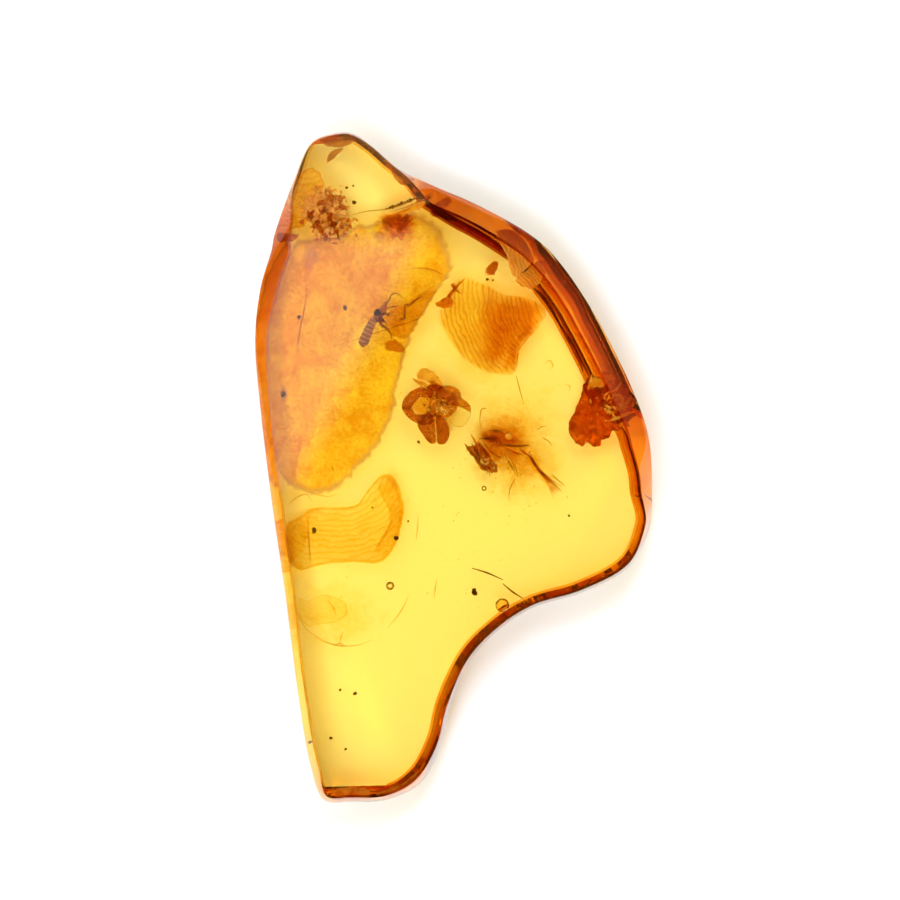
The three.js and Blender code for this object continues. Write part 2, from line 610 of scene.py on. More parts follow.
def tube(bm: bmesh.types.BMesh, path: Sequence[Vector], widths: Sequence[float], sides: int = 8) -> None:
    """Adds a closed tube along a path.

    Args:
        bm: the graded mesh to build in; the grade runs from 0 to 1 along the tube.
        path: the points of its middle line.
        widths: its radius at evenly spread places along the path.
        sides: how many sides it has.
    """
    rings, grades = [], []
    last = len(path) - 1
    for i, at in enumerate(path):
        along = (path[min(i + 1, last)] - path[max(i - 1, 0)]).normalized()
        side = along.cross(Vector((0.0, 0.0, 1.0))).normalized()
        rise = side.cross(along)
        place = i / last * (len(widths) - 1)
        low = min(int(place), len(widths) - 2)
        radius = widths[low] + (widths[low + 1] - widths[low]) * (place - low)
        turns = [math.tau * k / sides for k in range(sides)]
        rings.append([at + (side * math.cos(t) + rise * math.sin(t)) * radius for t in turns])
        grades.append(i / last)
    first, end = loft(bm, rings, grades)
    close(bm, first, path[0], 0.0)
    close(bm, end, path[-1], 1.0)


def lump(
    bm: bmesh.types.BMesh,
    at: Vector,
    radii: Sequence[float],
    turn: float = 0.0,
    rough: float = 0.15,
    detail: int = 3,
) -> None:
    """Adds a rounded lump.

    Args:
        bm: the graded mesh to build in.
        at: its middle.
        radii: its three radii.
        turn: how far it is turned about Z, in degrees.
        rough: how uneven it is, as a share of its radii.
        detail: how finely it is divided.
    """
    layer = bm.verts.layers.float["grade"]
    verts = bmesh.ops.create_icosphere(bm, subdivisions=detail, radius=1.0)["verts"]
    spin = Matrix.Rotation(math.radians(turn), 3, "Z")
    for vert in verts:
        swell = 1.0 + rough * noise.noise(vert.co * LUMP_GRAIN + at * 3.1)
        vert[layer] = vert.co.x * 0.5 + 0.5
        vert.co = at + spin @ Vector(c * r * swell for c, r in zip(vert.co, radii))


def piece_of(name: str, bm: bmesh.types.BMesh, finish: "StainedFilm | FossilTissue | TrappedGas") -> None:
    """Finishes a mesh as a piece that is sealed in the resin.

    Args:
        name: the piece's name.
        bm: its mesh.
        finish: its finish.
    """
    bmesh.ops.remove_doubles(bm, verts=bm.verts, dist=1e-5)
    bmesh.ops.recalc_face_normals(bm, faces=bm.faces)
    sealed(finished(name, bm, finish.material()))


@dataclass(frozen=True)
class Sheet:
    """A thin uneven sheet with a free outline, or a flat lens where it has a thickness.

    height is its level above the slab's foot and centre the place that its rings shrink
    to. tilt is its slope across and along, ripple the height of its waves, cup how far
    its border stands up and jag how far its border strays. steps are the points made
    for each span of the outline, and rings how many rings of faces it has.
    """

    name: str
    outline: tuple[tuple[float, float], ...]
    height: float
    finish: "StainedFilm | FossilTissue"
    centre: tuple[float, float] | None = None
    thickness: float = 0.0
    tilt: tuple[float, float] = (0.0, 0.0)
    ripple: float = 0.06
    cup: float = 0.0
    jag: float = 0.0
    steps: int = 5
    rings: int = 12

    def border(self) -> list[Vector]:
        """The sheet's outline, with its small jags."""
        curve = drawn([Vector(p) for p in self.outline], self.steps, closed=True)
        return [p + noise.noise_vector(Vector((*p, 0.0)) * JAG_GRAIN).xy * self.jag for p in curve]

    def level(self, flat: Vector, middle: Vector, share: float) -> float:
        """Height of the sheet.

        Args:
            flat: a place on the sheet, seen from above.
            middle: the sheet's centre.
            share: how far out that place is, from 0 to 1.

        Returns:
            The height there.
        """
        lean = (flat.x - middle.x) * self.tilt[0] + (flat.y - middle.y) * self.tilt[1]
        wave = noise.noise(Vector((flat.x, flat.y, self.height)) * RIPPLE_GRAIN) * self.ripple
        ribs = getattr(self.finish, "ribs", None)
        fine = ribs.rise(flat.x, flat.y) if ribs else 0.0
        return self.height + lean + wave + fine * (1.0 - share**4) + self.cup * share * share

    def ring(self, border: list[Vector], middle: Vector, share: float, side: float) -> list[Vector]:
        """One ring of the sheet.

        Args:
            border: the outline.
            middle: the centre that the rings shrink to.
            share: how far out the ring is, from 0 to 1.
            side: 1 for the upper skin, -1 for the lower one and 0 for a single skin.

        Returns:
            The ring's points.
        """
        swell = side * self.thickness / 2 * math.sqrt(max(1.0 - share * share, 0.0))
        made = []
        for point in border:
            flat = middle.lerp(point, share)
            bump = 1.0 + 0.5 * noise.noise(Vector((*flat, side * 3.0)) * SWELL_GRAIN)
            made.append(Vector((flat.x, flat.y, self.level(flat, middle, share) + swell * bump)))
        return made

    def build(self) -> None:
        """Makes the sheet."""
        bm = graded_mesh()
        border = self.border()
        middle = Vector(self.centre) if self.centre else sum(border, Vector((0.0, 0.0))) / len(border)
        shares = [1.0 - i / self.rings for i in range(self.rings)]
        sides = [(share, 1.0 if self.thickness else 0.0) for share in shares]
        if self.thickness:
            sides = [(share, -1.0) for share in reversed(shares[1:])] + sides
        rings = [self.ring(border, middle, share, side) for share, side in sides]
        first, last = loft(bm, rings, [1.0 - share for share, _ in sides])
        peak = Vector((*middle, self.level(middle, middle, 0.0) + self.thickness / 2))
        close(bm, last, peak, 1.0)
        if self.thickness:
            close(bm, first, peak - Vector((0.0, 0.0, self.thickness)), 1.0)
        piece_of(self.name, bm, self.finish)


@dataclass(frozen=True)
class Strands:
    """Fine hairs, legs, needles or crack lines, all of one finish.

    Each path is a list of points with x, y and z; the widths are the radii from the
    start of a path to its end.
    """

    name: str
    paths: tuple[tuple[tuple[float, float, float], ...], ...]
    widths: tuple[float, ...]
    finish: "StainedFilm | FossilTissue"
    sides: int = 8

    def build(self) -> None:
        """Makes the strands."""
        bm = graded_mesh()
        for path in self.paths:
            tube(bm, drawn([Vector(p) for p in path], 6, closed=False), self.widths, self.sides)
        piece_of(self.name, bm, self.finish)


@dataclass(frozen=True)
class Crumbs:
    """Small lumps, all of one finish.

    Each place has x, y, z and a size. stretch is how the size is shared out over the
    three radii, rough how uneven the lumps are and seed what turns them.
    """

    name: str
    places: tuple[tuple[float, float, float, float], ...]
    finish: "StainedFilm | FossilTissue | TrappedGas"
    stretch: tuple[float, float, float] = (1.0, 1.0, 1.0)
    rough: float = 0.4
    detail: int = 2
    seed: int = 3

    def build(self) -> None:
        """Makes the lumps."""
        bm = graded_mesh()
        dice = random.Random(self.seed)
        for x, y, z, size in self.places:
            radii = [size * s for s in self.stretch]
            lump(bm, Vector((x, y, z)), radii, dice.uniform(0.0, 180.0), self.rough, self.detail)
        piece_of(self.name, bm, self.finish)


# ---------------------------------------------------------------- the slab


@dataclass(frozen=True)
class Station:
    """A place on the slab's outline and the shape of its edge there.

    upper and lower are the widths of the edge above and below the girdle, foot is the
    part of lower that the chamfer at the foot takes, girdle is the height at which the
    slab is widest, belly is how round the undercut is, and rind is how strong the
    weathering is.
    """

    x: float
    y: float
    upper: float
    lower: float
    foot: float
    girdle: float
    belly: float
    rind: float


@dataclass
class EdgePoint:
    """One sampled point of the outline: its place, the way in from it and the edge's shape there."""

    at: Vector
    inward: Vector
    upper: float
    lower: float
    foot: float
    girdle: float
    belly: float
    rind: float


@dataclass(frozen=True)
class Facet:
    """A flat ground or broken off the slab: a point of its plane and the way that it faces."""

    at: tuple[float, float, float]
    faces: tuple[float, float, float]

    def cut(self, bm: bmesh.types.BMesh, depth: float = 0.0) -> None:
        """Cuts everything outside the facet away, and closes the cut of a solid.

        Args:
            bm: the mesh, in millimetres.
            depth: how far under the facet the cut is made; such a cut stays open.
        """
        way = Vector(self.faces).normalized()
        geom = [*bm.verts, *bm.edges, *bm.faces]
        spot = Vector(self.at) - way * depth
        cut = bmesh.ops.bisect_plane(bm, geom=geom, plane_co=spot, plane_no=way, clear_outer=True)
        if not depth:
            edges = [g for g in cut["geom_cut"] if isinstance(g, bmesh.types.BMEdge)]
            bmesh.ops.edgeloop_fill(bm, edges=edges)


FACETS = (
    Facet((-5.4, 13.7, 6.05), (-0.05, 0.17, 0.98)),
    Facet((-6.0, 17.4, 0.0), (-0.1, 0.8, -0.6)),
    Facet((-5.5, -17.3, 0.0), (0.02, -0.8, -0.6)),
)
STATIONS = (
    Station(-6.4, 18.03, 0.30, 0.40, 0.25, 4.6, 0.4, 0.7),
    Station(-5.5, 18.03, 0.30, 0.50, 0.40, 4.5, 0.3, 0.75),
    Station(-4.4, 17.3, 0.15, 0.46, 0.36, 4.9, 0.3, 0.5),
    Station(-2.9, 16.03, 0.15, 0.46, 0.34, 5.2, 0.3, 0.5),
    Station(-1.0, 15.1, 0.92, 1.20, 0.30, 5.45, 0.0, 1.1),
    Station(1.1, 14.2, 0.95, 1.45, 0.32, 5.4, 0.0, 1.1),
    Station(3.87, 12.68, 1.05, 1.60, 0.32, 5.4, 0.0, 1.1),
    Station(5.0, 11.78, 1.10, 1.80, 0.32, 5.4, 0.0, 1.0),
    Station(5.95, 10.68, 1.10, 1.88, 0.32, 5.4, 0.0, 1.0),
    Station(6.85, 9.38, 1.10, 1.85, 0.32, 5.4, 0.0, 1.0),
    Station(7.73, 7.92, 1.15, 1.90, 0.32, 5.4, 0.0, 1.0),
    Station(9.5, 4.4, 1.15, 1.95, 0.32, 5.4, 0.0, 1.0),
    Station(10.45, 1.7, 0.98, 1.40, 0.32, 5.4, 0.0, 1.0),
    Station(10.65, -1.0, 0.62, 1.00, 0.30, 5.2, 0.1, 0.95),
    Station(10.55, -3.2, 0.30, 0.60, 0.30, 4.5, 0.2, 0.8),
    Station(9.5, -5.3, 0.20, 0.53, 0.30, 4.2, 0.2, 0.72),
    Station(6.9, -6.75, 0.20, 0.51, 0.30, 4.2, 0.2, 0.72),
    Station(4.3, -7.55, 0.20, 0.51, 0.30, 4.2, 0.2, 0.72),
    Station(2.5, -8.7, 0.20, 0.57, 0.32, 4.2, 0.2, 0.72),
    Station(0.9, -10.4, 0.20, 0.62, 0.32, 4.2, 0.2, 0.75),
    Station(-0.2, -12.9, 0.20, 0.66, 0.34, 4.2, 0.2, 0.85),
    Station(-0.7, -14.9, 0.22, 0.66, 0.34, 4.3, 0.2, 0.9),
    Station(-1.8, -17.0, 0.35, 0.74, 0.30, 4.4, 0.3, 0.9),
    Station(-3.6, -17.9, 0.30, 0.55, 0.16, 4.4, 0.4, 0.9),
    Station(-5.5, -18.0, 0.30, 0.40, 0.10, 4.6, 0.5, 0.9),
    Station(-7.0, -17.9, 0.30, 0.40, 0.10, 4.9, 0.5, 0.7),
    Station(-7.7, -16.1, 0.40, 0.30, 0.06, 5.2, 0.6, 0.35),
    Station(-8.4, -12.0, 0.36, 0.30, 0.05, 5.5, 0.6, 0.3),
    Station(-9.1, -6.6, 0.42, 0.35, 0.05, 5.5, 0.6, 0.4),
    Station(-9.8, -1.8, 0.46, 0.40, 0.05, 5.4, 0.6, 0.5),
    Station(-10.4, 3.1, 0.50, 0.45, 0.05, 5.35, 0.6, 0.52),
    Station(-10.7, 6.9, 0.60, 0.50, 0.06, 5.3, 0.6, 0.6),
    Station(-10.4, 9.7, 0.85, 0.50, 0.08, 5.2, 0.6, 0.85),
    Station(-9.8, 11.8, 0.92, 0.50, 0.10, 5.1, 0.6, 1.0),
    Station(-9.7, 12.4, 0.80, 0.48, 0.10, 5.05, 0.6, 0.95),
    Station(-8.6, 15.5, 0.24, 0.32, 0.06, 5.3, 0.6, 0.3),
    Station(-7.7, 17.5, 0.30, 0.25, 0.08, 4.9, 0.5, 0.45),
)
SHAPE_FIELDS = ("upper", "lower", "foot", "girdle", "belly", "rind")


@dataclass
class ResinSlab:
    """The amber itself: a polished slab with a rounded girdle and a few ground flats.

    shoulder is how round the edge above the girdle is. The top face starts to fall away
    to the left of slope_start, by slope_fall per square millimetre, and its rings shrink
    to centre. foot_slope is the rise of the chamfer at the foot for each millimetre of
    its width and rim_depth how far under the surface the weathered layer lies. The
    outline is sampled span_steps times between stations and then evenly, around times;
    the other counts are how many rings each part of the skin has. Edges that turn by
    more than crisp_from degrees stay crisp.
    """

    resin: ClearResin = field(default_factory=ClearResin)
    rim: WeatheredRim = field(default_factory=WeatheredRim)
    shoulder: float = 0.18
    slope_start: float = 0.5
    slope_fall: float = 0.0035
    centre: Vector = field(default_factory=lambda: Vector((-1.8, -1.8)))
    foot_slope: float = 1.43
    rim_depth: float = 0.14
    span_steps: int = 40
    around: int = 420
    foot_steps: int = 2
    lower_steps: int = 12
    upper_steps: int = 16
    crown_rings: int = 16
    crisp_from: float = 20.0

    def crown(self, x: float) -> float:
        """Height of the top face, which falls away gently to the left."""
        past = max(self.slope_start - x, 0.0)
        return THICKNESS - self.slope_fall * past * past

    def outline(self) -> list[EdgePoint]:
        """The closed outline, sampled evenly.

        Returns:
            Its points with the edge widths there.
        """
        fine: list[tuple[Vector, list[float]]] = []
        count = len(STATIONS)
        for i in range(count):
            near = [STATIONS[(i + k) % count] for k in (-1, 0, 1, 2)]
            here, there = ([getattr(s, name) for name in SHAPE_FIELDS] for s in near[1:3])
            for j in range(self.span_steps):
                share = j / self.span_steps
                ease = smooth(share)
                shape = [u + (v - u) * ease for u, v in zip(here, there)]
                fine.append((spline([Vector((s.x, s.y)) for s in near], share), shape))
        run = [0.0]
        for a, b in zip(fine, fine[1:] + fine[:1]):
            run.append(run[-1] + (b[0] - a[0]).length)
        places, k = [], 0
        for i in range(self.around):
            goal = run[-1] * i / self.around
            while run[k + 1] < goal:
                k += 1
            share = (goal - run[k]) / (run[k + 1] - run[k])
            a, b = fine[k], fine[(k + 1) % len(fine)]
            mixed = [u + (v - u) * share for u, v in zip(a[1], b[1])]
            places.append((a[0].lerp(b[0], share), mixed))
        made = []
        for i, (at, mixed) in enumerate(places):
            along = (places[(i + 1) % self.around][0] - places[i - 1][0]).normalized()
            made.append(EdgePoint(at, Vector((along.y, -along.x)), *mixed))
        return made

    def edge(self, share: float, roundness: float) -> tuple[float, float]:
        """How far in and how far from the girdle an edge has come.

        Args:
            share: how far along the edge, from 0 at the girdle to 1.
            roundness: 0 for a straight chamfer, 1 for a quarter ellipse.

        Returns:
            The inset and the rise, both from 0 to 1.
        """
        angle = share * math.pi / 2
        inset = share + (1 - math.cos(angle) - share) * roundness
        rise = share + (math.sin(angle) - share) * roundness
        return inset, rise

    def levels(self, depth: float = 0.0) -> list[list[Vector]]:
        """Rings of points from the foot of the undercut to the rim of the top face.

        Args:
            depth: how far under the surface the rings lie.

        Returns:
            One ring for each level.
        """
        points = self.outline()
        rings = []
        for i in range(self.foot_steps + 1):
            left = 1.0 - i / (self.foot_steps + 1)
            ring = []
            for p in points:
                flat = p.at + p.inward * (depth + p.lower - p.foot * (1.0 - left))
                ring.append(Vector((flat.x, flat.y, depth + p.foot * self.foot_slope * (1.0 - left))))
            rings.append(ring)
        for i in range(self.lower_steps, 0, -1):
            ring = []
            for p in points:
                inset, rise = self.edge(i / self.lower_steps, p.belly)
                flat = p.at + p.inward * (depth + (p.lower - p.foot) * inset)
                base = depth + p.foot * self.foot_slope
                ring.append(Vector((flat.x, flat.y, base + (p.girdle - base) * (1 - rise))))
            rings.append(ring)
        for i in range(self.upper_steps + 1):
            inset, rise = self.edge(i / self.upper_steps, self.shoulder)
            ring = []
            for p in points:
                flat = p.at + p.inward * (depth + p.upper * inset)
                top = self.crown(flat.x) - depth
                ring.append(Vector((flat.x, flat.y, p.girdle + (top - p.girdle) * rise)))
            rings.append(ring)
        return rings

    def build(self) -> bpy.types.Object:
        """Makes the slab.

        Returns:
            The finished piece, which replaces the CAD solid.
        """
        bm = graded_mesh()
        rings = self.levels()
        rim = rings[-1]
        for i in range(1, self.crown_rings):
            share = 1.0 - i / self.crown_rings
            ring = []
            for point in rim:
                flat = self.centre.lerp(point.xy, share)
                ring.append(Vector((flat.x, flat.y, self.crown(flat.x))))
            rings.append(ring)
        first, last = loft(bm, rings, [0.0] * len(rings))
        close(bm, last, Vector((*self.centre, self.crown(self.centre.x))), 0.0)
        bmesh.ops.edgeloop_fill(bm, edges=first)
        for facet in FACETS:
            facet.cut(bm)
        bmesh.ops.recalc_face_normals(bm, faces=bm.faces)
        piece = finished("amber_slab", bm, self.resin.material(), sharp=self.crisp_from)
        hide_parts(NODE)
        sealed(piece)
        return piece

    def build_rim(self) -> bpy.types.Object:
        """Makes the weathered layer under the edges.

        Returns:
            The finished film.
        """
        bm = graded_mesh()
        rings = self.levels(self.rim_depth)
        loft(bm, rings, [[p.rind for p in self.outline()]] * len(rings))
        for facet in FACETS:
            facet.cut(bm, self.rim_depth)
        bmesh.ops.recalc_face_normals(bm, faces=bm.faces)
        piece = finished("weathered_rim", bm, self.rim.material())
        sealed(piece)
        return piece


# ---------------------------------------------------------------- what is sealed in it


GOLDEN_VEIL = StainedFilm(
    "golden_veil", (1.0, 0.82, 0.10), (0.72, 0.28, 0.01), border=(0.50, 0.30, 0.22), rim=0.07, mottle=1.0,
    contrast=0.30, haze=0.10, specks=1.6, wisps=1.6,
)
ORANGE_VEIL = StainedFilm(
    "orange_veil", (1.0, 0.86, 0.34), (0.92, 0.62, 0.14), mottle=0.3, contrast=0.5, haze=0.06, fade=0.12
)
BURNT_SCRAP = StainedFilm(
    "burnt_scrap", (0.62, 0.18, 0.015), (0.30, 0.04, 0.004), mottle=1.6, contrast=0.4, haze=0.05, fade=0.30
)
SMOKED_SCRAP = StainedFilm(
    "smoked_scrap", (0.86, 0.56, 0.50), (0.46, 0.22, 0.18), mottle=1.9, contrast=0.24, haze=0.25, fade=0.80,
    wisps=2.4,
)
HAZE = StainedFilm(
    "orange_haze", (1.0, 0.82, 0.30), (0.80, 0.36, 0.02), mottle=1.1, contrast=0.26, haze=0.05, fade=0.8,
    wisps=1.1,
)
FAINT_HAZE = StainedFilm(
    "faint_haze", (1.0, 0.98, 0.90), (0.93, 0.74, 0.36), mottle=0.9, contrast=0.36, haze=0.02, fade=0.8,
    wisps=1.0,
)
STAIN = StainedFilm(
    "brown_stain", (0.98, 0.64, 0.12), (0.78, 0.28, 0.015), mottle=1.5, contrast=0.3, haze=0.08, fade=0.6,
    wisps=1.6,
)
DARK_STAIN = StainedFilm(
    "dark_stain", (0.66, 0.22, 0.02), (0.32, 0.05, 0.004), mottle=1.8, contrast=0.3, haze=0.08, fade=0.6
)
GOLDEN_STAIN = StainedFilm(
    "golden_stain", (1.0, 0.86, 0.34), (0.86, 0.52, 0.06), mottle=1.3, contrast=0.3, haze=0.04, fade=0.30,
    wisps=1.4,
)
CRUMB_STAIN = StainedFilm(
    "crumb_stain", (1.0, 0.60, 0.26), (0.56, 0.18, 0.05), mottle=2.8, contrast=0.22, haze=0.55, fade=0.35,
    wisps=2.2,
)
# Painted highlight: a bright hazy film that stands in for light gleaming off cracks and the ridge.
GLEAM = StainedFilm(
    "golden_gleam", (1.0, 0.56, 0.04), (0.94, 0.28, 0.01), mottle=2.6, contrast=0.2, haze=0.80, fade=0.35
)
CHIP = StainedFilm(
    "burnt_chip", (1.0, 0.42, 0.04), (0.60, 0.14, 0.008), mottle=1.6, contrast=0.4, haze=0.60, fade=0.12
)
DARK_CHIP = StainedFilm(
    "dark_chip", (0.66, 0.21, 0.02), (0.30, 0.06, 0.004), mottle=2.0, contrast=0.4, haze=0.45, fade=0.10
)
FLAME = StainedFilm(
    "flame_bark", (0.86, 0.32, 0.02), (0.36, 0.06, 0.004), mottle=1.7, contrast=0.26, haze=0.12, fade=0.2,
    wisps=1.4,
)
DARK_FIBRE = FossilTissue("dark_fibre", (0.16, 0.05, 0.008), (0.05, 0.012, 0.002), clear=0.35)
BROWN_FIBRE = FossilTissue("brown_fibre", (0.42, 0.17, 0.02), (0.20, 0.06, 0.006), clear=0.6)
RUSTY_FIBRE = FossilTissue("rusty_fibre", (0.80, 0.34, 0.04), (0.48, 0.13, 0.01), clear=0.85, density=1.03)
CRUMB = FossilTissue(
    "resin_crumb", (0.98, 0.56, 0.22), (0.62, 0.15, 0.03), clear=0.75, grain=2.4, density=1.05
)
CRACK = FossilTissue("crack_shadow", (0.62, 0.36, 0.08), (0.40, 0.18, 0.03), clear=0.9, density=1.0)
# Bright golden finish: real pale flecks and dots, and also painted highlights and painted light, namely the
# glints on bubbles, the highlights on the flame scrap and the light in the ember lump's gaps and rents.
GOLD_FLECK_AND_GLINT = FossilTissue(
    "gold_fleck_and_painted_glint", (1.0, 0.74, 0.16), (1.0, 0.46, 0.04), clear=0.15, grain=3.0, density=1.05
)
GAS = TrappedGas()


@dataclass(frozen=True)
class FractureVeils:
    """The old fractures and scraps of membrane that tint large parts of the slab."""

    scraps: tuple[Sheet, ...] = (
        Sheet(
            "main_veil",
            (
                (-8.3, 12.3), (-6.6, 12.5), (-4.6, 13.3), (-2.2, 13.8), (-1.0, 13.4), (-0.3, 12.1),
                (0.0, 11.2), (-0.1, 10.5), (-0.7, 9.7), (-1.3, 8.7), (-1.8, 8.0), (-2.3, 6.9), (-2.6, 5.6),
                (-2.9, 4.6), (-3.1, 3.4), (-3.6, 2.0), (-4.1, 0.9), (-5.0, 0.1), (-5.6, -0.7), (-6.6, -1.4),
                (-7.5, -1.5), (-8.6, -1.2), (-9.3, -0.6), (-9.7, 0.6), (-9.95, 3.0), (-10.15, 5.4),
                (-10.05, 8.0), (-9.4, 10.6),
            ),
            3.3, GOLDEN_VEIL, centre=(-8.0, 6.0), tilt=(0.05, 0.02), ripple=0.3, jag=0.22, rings=26,
        ),
        Sheet(
            "side_veil",
            (
                (-8.4, 12.5), (-9.6, 10.2), (-10.0, 7.5), (-9.9, 3.0), (-9.6, 0.0), (-9.3, -1.1),
                (-8.6, -1.0), (-8.4, 0.2), (-7.9, 1.6), (-7.2, 2.9), (-6.9, 4.2), (-6.0, 6.2), (-4.9, 7.5),
                (-3.7, 8.6), (-3.2, 10.0), (-3.3, 11.6), (-4.6, 12.4), (-6.4, 12.5),
            ),
            1.4, ORANGE_VEIL, centre=(-7.6, 7.6), tilt=(0.04, 0.0), ripple=0.2, rings=16,
        ),
        Sheet(
            "cloudy_veil",
            (
                (0.9, 4.9), (2.4, 4.6), (4.2, 4.9), (5.6, 4.6), (6.3, 3.2), (6.2, 1.2), (6.6, -0.6),
                (5.6, -2.4), (3.6, -2.6), (1.9, -1.6), (1.0, 0.0), (0.5, 2.2),
            ),
            1.8, FAINT_HAZE, tilt=(0.03, 0.05), ripple=0.25,
        ),
        Sheet(
            "ribbed_boot",
            (
                (-9.0, -3.1), (-8.3, -2.6), (-7.7, -2.2), (-6.5, -2.15), (-5.6, -2.1), (-5.1, -1.9),
                (-4.7, -1.3), (-4.3, -0.8), (-3.8, -0.35), (-3.3, -0.4), (-3.0, -0.8), (-2.75, -1.6),
                (-2.65, -2.4), (-2.8, -3.2), (-3.1, -4.2), (-3.6, -4.9), (-4.2, -5.2), (-5.0, -5.15),
                (-6.5, -5.2), (-7.4, -5.35), (-8.3, -5.6), (-8.9, -5.1),
            ),
            2.1,
            StainedFilm(
                "ribbed_boot", (0.97, 0.86, 0.34), (0.74, 0.40, 0.02), border=(0.72, 0.36, 0.02), rim=0.16,
                mottle=0.7, contrast=0.4, haze=0.03,
                ribs=Ribs((-6.4, 0.6), 0.31, height=0.05, strength=0.45),
            ),
            centre=(-5.0, -3.3), tilt=(0.05, 0.0), ripple=0.2, jag=0.06, rings=28,
        ),
        Sheet(
            "small_boot_fan",
            (
                (-8.7, -6.9), (-8.0, -7.2), (-7.0, -6.85), (-6.4, -7.0), (-5.8, -7.3), (-5.7, -7.9),
                (-6.2, -8.3), (-7.2, -8.5), (-7.8, -8.6), (-8.3, -8.0),
            ),
            2.4,
            StainedFilm(
                "small_boot_fan", (1.0, 0.93, 0.62), (0.93, 0.74, 0.32), border=(0.84, 0.62, 0.2), rim=0.1,
                mottle=0.9, contrast=0.4, haze=0.02,
                ribs=Ribs((-6.8, -5.2), 0.34, height=0.03, strength=0.3),
            ),
            jag=0.05,
        ),
        Sheet(
            "ribbed_corner",
            (
                (-8.35, 15.5), (-8.0, 16.0), (-7.6, 16.1), (-7.2, 15.8), (-6.95, 15.2), (-7.1, 14.8),
                (-7.3, 14.2), (-7.6, 13.6), (-8.0, 13.0), (-8.8, 12.8), (-9.2, 12.6), (-9.1, 13.6),
                (-8.7, 14.6),
            ),
            3.6,
            StainedFilm(
                "ribbed_corner", (1.0, 0.64, 0.08), (0.84, 0.34, 0.02), border=(0.80, 0.30, 0.03), rim=0.12,
                mottle=1.2, contrast=0.5, haze=0.03,
                ribs=Ribs((-8.4, 19.5), 0.33, height=0.05, strength=0.7),
            ),
            jag=0.06, rings=16,
        ),
        Sheet(
            "boot_fold",
            (
                (-4.2, -0.7), (-3.7, -0.35), (-3.25, -0.4), (-2.8, -1.4), (-2.65, -2.6), (-3.0, -4.0),
                (-3.8, -5.1), (-4.6, -5.2), (-4.1, -4.5), (-3.6, -3.6), (-3.5, -2.4), (-3.9, -1.5),
            ),
            2.5, GOLDEN_STAIN, centre=(-3.2, -2.6), jag=0.08,
        ),
        Sheet(
            "boot_stain",
            (
                (-9.1, -3.0), (-8.4, -2.6), (-7.75, -2.2), (-7.7, -3.0), (-7.9, -4.2), (-8.5, -5.3),
                (-9.0, -5.4),
            ),
            2.4, GOLDEN_STAIN, jag=0.05,
        ),
        Sheet(
            "fan_haze",
            (
                (-1.2, 8.6), (0.2, 9.8), (1.4, 8.0), (2.4, 5.8), (3.6, 4.6), (2.0, 4.0), (0.4, 4.6),
                (-0.8, 5.6), (-1.7, 7.0),
            ),
            2.0, FAINT_HAZE, ripple=0.2,
        ),
        Sheet(
            "lower_haze",
            (
                (-8.6, -6.0), (-6.0, -5.8), (-4.4, -6.6), (-3.4, -8.0), (-4.6, -9.8), (-6.6, -10.4),
                (-8.2, -9.4), (-8.7, -7.6),
            ),
            2.0, FAINT_HAZE, ripple=0.2,
        ),
    )

    def build(self) -> None:
        """Makes every veil."""
        for scrap in self.scraps:
            scrap.build()


